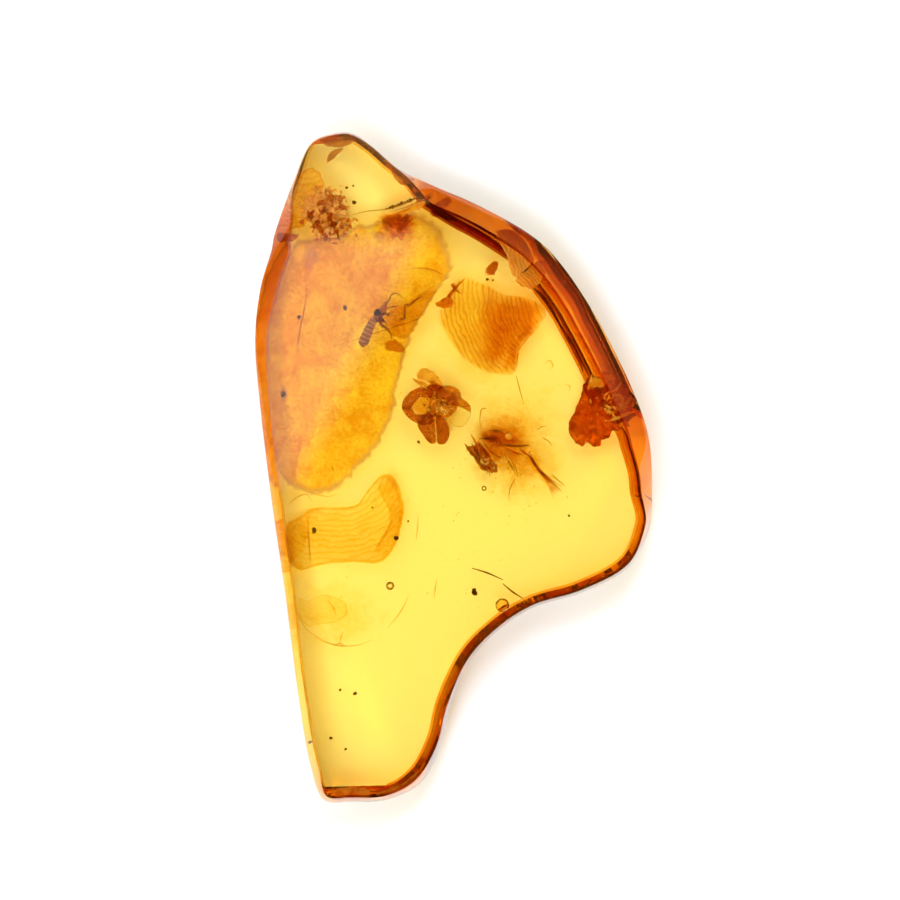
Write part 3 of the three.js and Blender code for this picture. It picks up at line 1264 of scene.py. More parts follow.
@dataclass(frozen=True)
class RibbedFan:
    """The big fan of curved ridges in the middle, and the smaller ones by the edge."""

    leaves: tuple[Sheet, ...] = (
        Sheet(
            "great_fan",
            (
                (0.0, 10.1), (0.6, 10.35), (1.2, 10.2), (2.0, 9.8), (2.8, 9.4), (3.7, 9.3), (4.3, 9.1),
                (4.9, 8.7), (5.0, 8.2), (4.6, 7.7), (4.0, 7.0), (3.5, 6.4), (3.35, 5.5), (3.3, 5.0),
                (2.3, 4.95), (1.7, 5.1), (0.8, 5.6), (0.1, 6.3), (-0.5, 7.2), (-0.9, 8.2), (-0.7, 9.0),
                (-0.2, 9.6),
            ),
            2.7,
            StainedFilm(
                "great_fan", (0.97, 0.74, 0.13), (0.52, 0.15, 0.005), mottle=0.7, contrast=0.36, haze=0.04,
                fade=0.10, ribs=Ribs((6.6, 9.4), 0.25, height=0.05, strength=0.6),
            ),
            centre=(2.1, 7.4), tilt=(0.12, 0.05), ripple=0.2, jag=0.05, rings=30, steps=8,
        ),
        Sheet(
            "fan_shade",
            (
                (1.3, 5.2), (2.4, 4.95), (3.3, 5.0), (3.5, 6.2), (4.3, 7.2), (5.1, 8.1), (5.25, 8.9),
                (4.3, 9.3), (2.8, 9.5), (1.8, 9.7), (1.2, 8.8), (1.0, 7.8), (0.9, 6.6), (1.0, 5.8),
            ),
            2.2,
            StainedFilm(
                "fan_shade", (0.88, 0.42, 0.03), (0.64, 0.18, 0.008), mottle=0.8, contrast=0.3, haze=0.06,
                fade=0.5, wisps=1.2,
            ),
            centre=(3.0, 7.6), ripple=0.1, jag=0.1,
        ),
        Sheet(
            "fan_root",
            (
                (2.4, 4.9), (3.35, 5.0), (3.4, 5.6), (3.6, 6.4), (4.1, 7.1), (4.8, 8.0), (4.2, 7.9),
                (3.4, 7.1), (2.9, 6.3), (2.7, 5.6),
            ),
            2.4, STAIN, jag=0.1, rings=8,
        ),
        Sheet(
            "pale_fan",
            (
                (2.2, 12.6), (3.0, 12.7), (3.7, 12.2), (4.05, 11.5), (4.2, 11.0), (3.8, 10.6), (3.3, 10.2),
                (3.0, 10.6), (2.9, 11.2), (2.6, 11.8),
            ),
            5.4,
            StainedFilm(
                "pale_fan", (1.0, 0.55, 0.09), (0.86, 0.25, 0.02), mottle=1.5, contrast=0.4, haze=0.70,
                ribs=Ribs((-1.6, 10.0), 0.20, height=0.05, strength=0.85),
            ),
            jag=0.05, rings=16,
        ),
        Sheet(
            "dark_fan",
            (
                (3.3, 10.15), (3.9, 10.6), (4.5, 11.05), (4.75, 11.0), (4.75, 10.2), (4.5, 9.8), (4.1, 9.6),
                (3.7, 9.7), (3.4, 9.9),
            ),
            5.2,
            StainedFilm(
                "dark_fan", (1.0, 0.46, 0.05), (0.66, 0.16, 0.01), mottle=1.5, contrast=0.4, haze=0.66,
                ribs=Ribs((2.2, 8.4), 0.18, height=0.05, strength=0.8),
            ),
            jag=0.05,
        ),
        Sheet(
            "red_flake",
            ((1.65, 10.45), (1.85, 10.95), (2.3, 11.2), (2.45, 11.0), (2.3, 10.6), (2.2, 10.35)),
            3.1, BURNT_SCRAP, thickness=0.12, jag=0.06, rings=5,
        ),
    )

    def build(self) -> None:
        """Makes every leaf."""
        for leaf in self.leaves:
            leaf.build()


@dataclass(frozen=True)
class BurntScraps:
    """The dark red scraps of bark: a flame by the narrow end and a jagged lump by the edge."""

    ember: FossilTissue = FossilTissue(
        "ember_bark", (0.90, 0.27, 0.015), (0.42, 0.06, 0.003), clear=0.85, grain=1.8, sheen=0.2,
        density=1.08,
    )
    knot: FossilTissue = FossilTissue(
        "knot_bark", (0.84, 0.34, 0.03), (0.46, 0.10, 0.004), clear=0.85, grain=1.8, sheen=0.2, density=1.04
    )

    def build(self) -> None:
        """Makes the scraps and the debris round them, with painted highlights on the flame and the ridge and
        painted light over the ember lump.
        """
        flame = (
            (-4.0, 13.55), (-3.2, 13.75), (-2.4, 13.7), (-1.95, 13.5), (-2.3, 13.3), (-1.95, 13.1),
            (-2.35, 12.95), (-2.2, 12.6), (-2.6, 12.55), (-2.75, 12.2), (-3.1, 12.4), (-3.35, 12.15),
            (-3.5, 12.6), (-3.8, 12.9),
        )
        Sheet("flame_scrap", flame, 3.9, FLAME, jag=0.1, steps=7).build()
        heart = (
            (-3.8, 13.5), (-3.0, 13.6), (-2.4, 13.4), (-2.5, 12.9), (-2.9, 12.6), (-3.3, 12.8),
            (-3.6, 13.1),
        )
        Sheet("flame_heart", heart, 4.0, FLAME, jag=0.14, steps=7, rings=8).build()
        glow = (
            (-4.5, 13.3), (-3.8, 13.9), (-2.9, 13.95), (-2.1, 13.7), (-2.0, 13.0), (-2.3, 12.3), (-3.1, 11.9),
            (-3.9, 12.2), (-4.5, 12.6),
        )
        Sheet("flame_glow", glow, 3.5, STAIN, jag=0.2).build()
        # Bright strands that stand in for the highlights on the flame scrap: painted highlights.
        highlight_paths = (
            ((-4.25, 13.2, 4.2), (-4.05, 13.28, 4.2), (-3.85, 13.3, 4.2)),
            ((-4.3, 12.95, 4.2), (-4.1, 12.98, 4.2), (-3.9, 12.98, 4.2)),
            ((-4.15, 12.7, 4.2), (-3.95, 12.74, 4.2), (-3.8, 12.75, 4.2)),
        )
        Strands("flame_painted_highlights", highlight_paths, (0.02, 0.05, 0.02), GOLD_FLECK_AND_GLINT).build()
        wing = ((-4.6, 12.7), (-4.2, 12.9), (-3.6, 12.6), (-3.3, 12.2), (-3.9, 12.1), (-4.4, 12.3))
        Sheet("flame_skirt", wing, 3.7, SMOKED_SCRAP, jag=0.08, rings=7).build()
        smear = (
            (-8.0, 12.3), (-7.4, 12.4), (-7.0, 11.8), (-7.2, 11.0), (-7.5, 10.6), (-7.9, 10.0),
            (-8.1, 11.0),
        )
        Sheet("grey_smear", smear, 3.9, SMOKED_SCRAP, jag=0.12, rings=7).build()
        pit = ((-9.5, 4.1), (-9.2, 4.5), (-8.9, 4.2), (-8.8, 3.8), (-9.1, 3.4), (-9.4, 3.6))
        Sheet("red_pit", pit, 4.4, SMOKED_SCRAP, jag=0.1, rings=6).build()
        mass = (
            (7.4, 4.9), (7.0, 4.5), (6.85, 3.8), (6.55, 3.1), (6.25, 2.5), (6.2, 1.9), (6.5, 1.4),
            (6.95, 1.15), (7.2, 1.35), (7.5, 1.15), (7.85, 1.2), (8.0, 1.5), (8.35, 1.6), (8.5, 1.95),
            (8.85, 2.0), (9.0, 2.4), (9.3, 2.6), (9.1, 2.9), (9.2, 3.3), (9.2, 3.55), (8.95, 3.75),
            (8.8, 4.15), (8.45, 4.4), (8.05, 4.75),
        )
        Sheet(
            "ember_lump", mass, 3.3, self.ember, thickness=1.1, tilt=(0.25, 0.0), jag=0.09, steps=7, rings=16
        ).build()
        blob = ((-1.4, 13.7), (-1.0, 14.0), (-0.5, 14.2), (-0.2, 14.0), (-0.6, 13.6), (-1.0, 13.4))
        Sheet("ridge_scrap", blob, 4.3, BURNT_SCRAP, jag=0.1, rings=6).build()
        knot = ((-1.0, 8.8), (-0.6, 9.1), (-0.2, 9.2), (0.0, 8.9), (-0.2, 8.65), (-0.6, 8.6))
        Sheet("hooked_scrap", knot, 3.4, self.knot, thickness=0.2, jag=0.06, rings=6).build()
        patch = (
            (-3.75, 6.75), (-3.4, 6.95), (-3.0, 6.85), (-2.6, 6.5), (-2.6, 6.2), (-3.1, 6.2), (-3.7, 6.3),
        )
        Sheet("brown_scrap", patch, 3.8, BURNT_SCRAP, jag=0.08, rings=6).build()
        cross = (
            ((-0.3, 9.2, 3.5), (0.1, 9.7, 3.5), (0.6, 10.2, 3.4)),
            ((-0.1, 9.9, 3.5), (0.1, 9.6, 3.4), (0.45, 9.35, 3.4)),
        )
        Strands("hooked_stalks", cross, (0.10, 0.07, 0.02), self.knot).build()
        ridge = (
            (
                (-5.7, 13.5, 5.5), (-4.7, 13.75, 5.55), (-3.7, 13.85, 5.6), (-2.8, 14.1, 5.6),
                (-1.9, 14.5, 5.5),
            ),
            ((-3.3, 13.75, 5.4), (-2.6, 13.95, 5.4), (-1.9, 14.25, 5.4), (-1.3, 14.35, 5.3)),
        )
        Strands("ridge_lines", ridge, (0.01, 0.025, 0.03), BROWN_FIBRE).build()
        # A bright streak along the ridge: a painted highlight.
        streak = (
            (-3.3, 13.6), (-2.5, 13.9), (-1.9, 14.35), (-1.3, 14.5), (-1.4, 14.15), (-2.1, 13.75),
            (-2.9, 13.5),
        )
        Sheet("ridge_painted_highlight", streak, 5.0, GLEAM, jag=0.06, rings=6).build()
        ticks = tuple((-3.6 + 0.16 * i, 13.88 + 0.055 * i, 5.35, 0.05 + 0.02 * (i % 3)) for i in range(11))
        Crumbs("ridge_ticks", ticks, DARK_FIBRE, rough=0.6).build()
        # Bright golden specks above the ember lump stand in for light shining through its gaps: painted
        # light.
        dice = random.Random(17)
        gap_light_specks = tuple(
            (
                8.6 + dice.gauss(0.0, 0.38), 3.3 + dice.gauss(0.0, 0.5), dice.uniform(4.2, 4.6),
                dice.uniform(0.03, 0.11),
            )
            for _ in range(46)
        )
        Crumbs("ember_painted_gap_light", gap_light_specks, GOLD_FLECK_AND_GLINT, (1.5, 0.7, 0.4), seed=9).build()
        # A bright hazy patch above the ember lump: a painted gleam of light.
        gleam = (
            (7.25, 4.2), (7.2, 4.7), (7.45, 4.95), (7.8, 4.8), (8.4, 5.05), (8.7, 4.9), (8.2, 4.5),
            (7.9, 4.2), (7.6, 4.3),
        )
        Sheet("ember_gleam", gleam, 4.9, GLEAM, ripple=0.1, jag=0.12, rings=8).build()
        # Bright golden lines over the ember lump's rents: painted light shining through them.
        rent_light_paths = (
            ((8.1, 3.9, 4.6), (8.5, 4.15, 4.6), (8.75, 4.5, 4.6)),
            ((8.7, 3.1, 4.6), (9.1, 3.4, 4.6), (9.3, 3.8, 4.6)),
            ((8.3, 2.5, 4.5), (8.9, 2.7, 4.5), (9.4, 2.9, 4.5)),
            ((7.2, 4.2, 4.7), (7.35, 4.6, 4.8), (7.4, 5.0, 4.9)),
        )
        Strands("ember_painted_rent_light", rent_light_paths, (0.02, 0.10, 0.03), GOLD_FLECK_AND_GLINT).build()
        self.build_chips()
        self.build_crumbs()

    def build_chips(self) -> None:
        """Makes the burnt chips along the edges."""
        chips = (
            (
                "foot_chip", 5.5, CHIP,
                (
                    (-6.6, -17.4), (-6.2, -17.2), (-4.8, -17.2), (-4.4, -17.4), (-4.5, -17.7),
                    (-5.5, -17.75), (-6.4, -17.7),
                ),
            ),
            (
                "foot_ridge_chip", 4.4, CHIP,
                (
                    (-4.3, -17.6), (-3.6, -17.3), (-2.6, -16.9), (-1.7, -16.2), (-1.5, -16.5), (-2.1, -17.1),
                    (-3.0, -17.5), (-4.0, -17.7),
                ),
            ),
            (
                "narrow_end_chip", 5.0, DARK_CHIP,
                ((-7.3, 17.65), (-7.0, 17.35), (-6.3, 17.2), (-5.6, 17.35), (-5.3, 17.7), (-6.4, 17.8)),
            ),
            (
                "triangle_chip", 5.0, DARK_CHIP,
                ((-6.85, 16.35), (-6.8, 16.75), (-6.5, 17.05), (-5.95, 17.2), (-6.3, 16.75)),
            ),
            (
                "notch_chip", 5.2, DARK_CHIP,
                ((-3.35, 16.0), (-3.2, 15.5), (-2.8, 15.15), (-2.3, 15.2), (-2.25, 15.55), (-2.8, 15.9)),
            ),
            (
                "left_band_chip", 4.6, DARK_CHIP,
                ((-9.3, 12.5), (-8.9, 12.6), (-8.3, 12.5), (-8.5, 12.25), (-9.2, 12.1)),
            ),
        )
        for name, height, finish, outline in chips:
            Sheet(name, outline, height, finish, ripple=0.08, jag=0.05, rings=6).build()

    def build_crumbs(self) -> None:
        """Scatters crumbs along the belt of debris at the narrow end."""
        dice = random.Random(11)
        belt = (
            (-7.5, 14.9), (-6.9, 14.6), (-6.3, 14.3), (-7.0, 14.0), (-7.8, 13.5), (-6.7, 13.5), (-7.3, 13.0),
            (-6.2, 13.1), (-5.7, 13.3), (-6.9, 12.6), (-6.3, 12.4), (-5.9, 12.8),
        )
        clumps = (
            (-6.6, 14.5), (-6.1, 14.4), (-6.65, 13.45), (-7.15, 12.8), (-7.7, 13.55), (-6.45, 13.1),
            (-6.9, 12.35), (-6.0, 13.95), (-7.2, 14.2), (-7.4, 13.1), (-6.3, 12.7), (-6.95, 13.8),
        )
        lumps = tuple((x, y, 4.15, dice.uniform(0.10, 0.19)) for x, y in clumps)
        Crumbs("belt_clumps", lumps, self.knot, (1.2, 0.8, 0.6), rough=0.9, detail=3).build()
        places = []
        for x, y in belt:
            for _ in range(14):
                flat = (x + dice.gauss(0.0, 0.34), y + dice.gauss(0.0, 0.28))
                places.append((*flat, dice.uniform(3.4, 4.3), dice.uniform(0.02, 0.10)))
        Crumbs("crumb_belt", tuple(places), CRUMB, (1.3, 0.9, 0.8)).build()
        mass = (
            (-8.3, 14.6), (-7.6, 15.1), (-6.7, 15.0), (-6.0, 14.4), (-5.5, 13.8), (-5.2, 13.2), (-5.4, 12.5),
            (-6.2, 12.1), (-7.2, 12.2), (-7.8, 12.9), (-8.5, 13.5),
        )
        Sheet("crumb_mass", mass, 3.9, CRUMB_STAIN, jag=0.25, steps=7).build()


@dataclass(frozen=True)
class Insect:
    """A small winged insect that lies on its side: ringed abdomen, thorax, head, feelers and legs."""

    level: float = 4.35
    skin: FossilTissue = FossilTissue(
        "insect_skin", (0.66, 0.34, 0.17), (0.24, 0.09, 0.03), clear=0.30, grain=5.0, bands=8.0, density=1.1
    )
    shell: FossilTissue = FossilTissue(
        "insect_shell", (0.44, 0.14, 0.04), (0.16, 0.04, 0.01), clear=0.2, grain=5.0, density=1.1
    )
    amber_shell: FossilTissue = FossilTissue(
        "insect_head_shell", (0.74, 0.30, 0.06), (0.42, 0.12, 0.02), clear=0.35, grain=4.0, density=1.1
    )
    eye: FossilTissue = FossilTissue(
        "insect_eye", (0.05, 0.03, 0.02), (0.015, 0.008, 0.006), clear=0.0, grain=9.0, sheen=0.15
    )
    limb: FossilTissue = FossilTissue(
        "insect_limb", (0.50, 0.20, 0.03), (0.24, 0.07, 0.01), clear=0.45, grain=6.0
    )

    def build_abdomen(self) -> None:
        """Makes the abdomen, whose rings bulge one after another."""
        bm = graded_mesh()
        spine = [(-4.86, 6.47), (-4.84, 6.75), (-4.70, 7.10), (-4.55, 7.45), (-4.42, 7.75), (-4.25, 8.02)]
        path = drawn([Vector((x, y, self.level)) for x, y in spine], 10, closed=False)
        last = len(path) - 1
        widths = []
        for i in range(last + 1):
            share = i / last
            body = 0.27 * min(1.0, math.sin(min(share * 5.0, 1.0) * math.pi / 2)) * (1.0 - 0.35 * share)
            widths.append(max(body * (1.0 + 0.14 * abs(math.sin(share * math.pi * 8.0))), 0.02))
        tube(bm, path, widths, sides=24)
        piece_of("insect_abdomen", bm, self.skin)

    def build_thorax(self) -> None:
        """Makes the thorax with its hump."""
        bm = graded_mesh()
        lump(bm, Vector((-4.08, 8.12, self.level)), (0.30, 0.25, 0.27), 50.0, 0.12, 4)
        lump(bm, Vector((-3.98, 7.98, self.level - 0.05)), (0.26, 0.16, 0.2), -35.0, 0.15, 3)
        piece_of("insect_thorax", bm, self.shell)

    def build_head(self) -> None:
        """Makes the head and its two eyes."""
        bm = graded_mesh()
        lump(bm, Vector((-3.80, 8.52, self.level)), (0.27, 0.20, 0.22), 55.0, 0.08, 4)
        lump(bm, Vector((-3.68, 8.80, self.level)), (0.10, 0.14, 0.10), -20.0, 0.1, 3)
        piece_of("insect_head", bm, self.amber_shell)
        bm = graded_mesh()
        lump(bm, Vector((-4.12, 8.34, self.level + 0.16)), (0.16, 0.21, 0.13), -20.0, 0.06, 4)
        lump(bm, Vector((-3.78, 8.30, self.level - 0.14)), (0.11, 0.10, 0.1), 0.0, 0.04, 3)
        piece_of("insect_eyes", bm, self.eye)

    def build_limbs(self) -> None:
        """Makes the feelers and the legs."""
        z = self.level
        feelers = (
            (
                (-3.62, 8.85, z), (-3.47, 9.05, z), (-3.36, 9.28, z + 0.05), (-3.18, 9.38, z + 0.05),
                (-2.95, 9.32, z), (-2.72, 9.10, z - 0.05),
            ),
            ((-3.62, 8.55, z), (-3.30, 8.66, z), (-2.98, 8.71, z)),
        )
        Strands("insect_feelers", feelers, (0.045, 0.035, 0.02), self.limb).build()
        legs = (
            ((-3.95, 8.05, z), (-3.75, 7.88, z - 0.1), (-3.55, 7.72, z - 0.2)),
            (
                (-4.0, 7.9, z), (-3.85, 7.65, z - 0.1), (-3.60, 7.50, z - 0.15), (-3.40, 7.2, z - 0.2),
                (-3.34, 6.9, z),
            ),
            ((-3.7, 8.35, z), (-3.52, 8.22, z - 0.1), (-3.48, 8.35, z - 0.15)),
            ((-2.9, 8.0, z), (-2.68, 8.02, z), (-2.62, 8.45, z), (-2.66, 8.8, z)),
            ((-2.6, 8.8, z), (-2.4, 8.75, z), (-2.15, 8.95, z), (-1.85, 9.15, z), (-1.7, 9.2, z)),
        )
        Strands("insect_legs", legs, (0.065, 0.055, 0.04, 0.025), self.limb).build()

    def build_wing(self) -> None:
        """Makes the folded wing beside the body."""
        wing = StainedFilm(
            "insect_wing", (0.94, 0.58, 0.08), (0.56, 0.22, 0.02), border=(0.5, 0.2, 0.02), rim=0.10,
            mottle=1.3, contrast=0.3, haze=0.05, fade=0.12,
            ribs=Ribs((-6.0, 12.0), 0.4, height=0.02, strength=0.2), wisps=1.5,
        )
        outline = (
            (-3.9, 8.1), (-3.4, 8.5), (-2.6, 8.9), (-1.6, 9.5), (-0.9, 9.6), (-1.3, 8.8), (-1.8, 8.1),
            (-2.2, 7.3), (-2.6, 6.9), (-3.2, 7.0), (-3.7, 7.3), (-4.1, 7.7),
        )
        Sheet("insect_wing", outline, self.level - 0.35, wing, tilt=(0.1, 0.0), ripple=0.1, jag=0.05).build()

    def build(self) -> None:
        """Makes the whole insect."""
        self.build_abdomen()
        self.build_thorax()
        self.build_head()
        self.build_limbs()
        self.build_wing()


@dataclass(frozen=True)
class Flower:
    """A small open flower: brown petals round a heart with a gas bubble in it."""

    level: float = 3.2
    petal: FossilTissue = FossilTissue(
        "petal", (0.84, 0.42, 0.06), (0.56, 0.20, 0.02), clear=0.85, grain=2.2, sheen=0.15, density=1.10
    )
    dark_petal: FossilTissue = FossilTissue(
        "dark_petal", (0.68, 0.25, 0.03), (0.50, 0.14, 0.012), clear=0.85, grain=2.6, sheen=0.15,
        density=1.08,
    )

    def build_petals(self) -> None:
        """Makes the petals: some thin lenses, the others single films, most of them cupped."""
        z = self.level
        curled = StainedFilm(
            "curled_petal", (0.92, 0.48, 0.05), (0.52, 0.13, 0.006), mottle=1.3, contrast=0.3, haze=0.08,
            fade=0.18, wisps=1.2,
        )
        pulp = StainedFilm(
            "petal_pulp", (1.0, 0.62, 0.05), (0.78, 0.32, 0.02), mottle=2.0, contrast=0.4, haze=0.05,
            fade=0.2,
        )
        petals = (
            Sheet(
                "petal_left_upper",
                (
                    (-2.78, 3.2), (-2.68, 3.7), (-2.25, 4.15), (-1.6, 4.38), (-1.1, 4.2), (-1.25, 3.75),
                    (-1.7, 3.85), (-2.1, 3.5), (-2.3, 3.2),
                ),
                z, self.dark_petal, centre=(-2.1, 3.85), thickness=0.24, cup=0.15,
            ),
            Sheet(
                "petal_left_lower",
                (
                    (-2.78, 3.25), (-2.3, 3.25), (-2.1, 2.95), (-1.5, 2.85), (-1.15, 2.85), (-1.1, 2.5),
                    (-1.5, 2.3), (-2.1, 2.45), (-2.6, 2.85),
                ),
                z, self.dark_petal, centre=(-2.1, 2.72), thickness=0.24, cup=0.15,
            ),
            Sheet(
                "petal_left_pulp",
                ((-2.35, 3.3), (-1.9, 3.75), (-1.3, 3.9), (-1.2, 3.3), (-1.3, 2.8), (-2.0, 2.9)),
                z - 0.2, pulp,
            ),
            Sheet(
                "petal_low_left",
                (
                    (-1.95, 2.35), (-1.65, 2.85), (-1.3, 2.98), (-1.03, 2.7), (-1.0, 2.1), (-0.95, 1.55),
                    (-1.02, 1.3), (-1.3, 1.33), (-1.65, 1.75),
                ),
                z, self.dark_petal, thickness=0.26, cup=-0.1,
            ),
            Sheet(
                "petal_low_right",
                (
                    (-0.96, 2.78), (-0.6, 2.72), (-0.34, 2.4), (-0.24, 1.95), (-0.3, 1.55), (-0.52, 1.28),
                    (-0.86, 1.3), (-0.9, 1.6), (-0.95, 2.1),
                ),
                z, self.dark_petal, thickness=0.26, cup=-0.1,
            ),
            Sheet(
                "petal_upper",
                (
                    (-0.9, 4.2), (-0.5, 4.42), (0.0, 4.35), (0.32, 4.1), (0.42, 3.75), (0.75, 3.5),
                    (0.92, 3.15), (0.84, 3.02), (0.45, 3.22), (0.0, 3.3), (-0.4, 3.4), (-0.9, 3.5),
                ),
                z + 0.1, self.petal, thickness=0.26, cup=0.15, ripple=0.15,
            ),
            Sheet(
                "flower_cup",
                (
                    (-1.7, 4.2), (-1.0, 4.5), (-0.4, 4.2), (0.1, 3.8), (0.2, 3.3), (-0.2, 2.8), (-0.9, 2.65),
                    (-1.4, 2.75), (-1.35, 3.3), (-1.3, 3.8),
                ),
                z - 0.1, self.petal, thickness=0.2, jag=0.08,
            ),
            Sheet(
                "petal_curled",
                (
                    (-2.05, 4.85), (-1.95, 5.2), (-1.55, 5.42), (-1.1, 5.2), (-0.75, 4.8), (-0.5, 4.35),
                    (-1.0, 4.42), (-1.5, 4.65),
                ),
                z + 0.4, curled, cup=0.25, ripple=0.2, jag=0.05,
            ),
            Sheet(
                "petal_curled_base",
                ((-1.5, 4.7), (-1.15, 4.75), (-0.75, 4.6), (-0.4, 4.25), (-0.8, 4.0), (-1.3, 4.2)),
                z + 0.3, DARK_STAIN, jag=0.05,
            ),
            Sheet(
                "petal_curled_low",
                ((-2.3, 4.85), (-1.7, 4.66), (-1.2, 4.45), (-0.7, 4.25), (-1.1, 4.05), (-1.7, 4.3)),
                z + 0.35, curled, jag=0.04,
            ),
            Sheet(
                "petal_clear",
                (
                    (-0.3, 2.6), (0.0, 2.25), (0.4, 2.18), (0.75, 2.5), (0.92, 3.05), (0.6, 3.3),
                    (0.1, 3.4), (-0.3, 3.2),
                ),
                z - 0.1,
                StainedFilm(
                    "clear_petal", (1.0, 0.96, 0.72), (0.96, 0.84, 0.45), border=(0.50, 0.28, 0.05),
                    rim=0.09, mottle=1.6, contrast=0.3, haze=0.04,
                ),
                cup=0.2,
            ),
        )
        for petal in petals:
            petal.build()

    def build_heart(self) -> None:
        """Makes the bubbles in the heart, their painted glints, pale streaks and the stamens."""
        dice = random.Random(5)
        z = self.level + 0.55
        Crumbs(
            "flower_bubbles", ((-0.66, 3.18, z, 0.38), (-1.34, 3.12, z, 0.15)), GAS, rough=0.04, detail=4
        ).build()
        # Bright lumps on and round the bubbles stand in for their glints: painted highlights.
        glints = (
            (-0.72, 3.2, 0.17, 30), (-1.85, 3.98, 0.12, 7), (-1.15, 3.62, 0.10, 5), (-0.15, 3.3, 0.12, 7),
            (-0.25, 2.85, 0.14, 6), (-1.1, 2.75, 0.10, 5), (-1.05, 1.36, 0.06, 4), (-1.35, 2.6, 0.1, 4),
        )
        places = tuple(
            (x + dice.gauss(0.0, spread), y + dice.gauss(0.0, spread), z + 0.35, dice.uniform(0.02, 0.05))
            for x, y, spread, count in glints
            for _ in range(count)
        )
        Crumbs("flower_glints", places, GOLD_FLECK_AND_GLINT, rough=0.2).build()
        # The ring round the big bubble is a painted highlight arc; the other lines are pale streaks on the
        # curled petal and the pale midrib.
        rings = (
            tuple(
                (-0.72 + 0.52 * math.cos(turn / 4), 3.2 + 0.48 * math.sin(turn / 4), z + 0.2)
                for turn in range(4, 13)
            ),
            ((-2.25, 4.83, z), (-1.8, 4.68, z), (-1.3, 4.56, z)),
            ((-2.0, 4.52, z), (-1.65, 4.36, z), (-1.35, 4.2, z)),
            ((-1.02, 2.75, z), (-0.98, 2.1, z), (-0.94, 1.45, z)),
        )
        Strands("pale_streaks_and_glint_arcs", rings, (0.012, 0.035, 0.012), GOLD_FLECK_AND_GLINT).build()
        dots = tuple(
            (-0.95 + 0.62 * math.cos(turn), 3.35 + 0.5 * math.sin(turn), z, dice.uniform(0.04, 0.09))
            for turn in (0.2, 0.9, 1.6, 2.4, 3.1, 3.9, 4.6, 5.4)
        )
        Crumbs("flower_anthers", dots, DARK_FIBRE, rough=0.6).build()

    def build(self) -> None:
        """Makes the whole flower."""
        self.build_petals()
        self.build_heart()


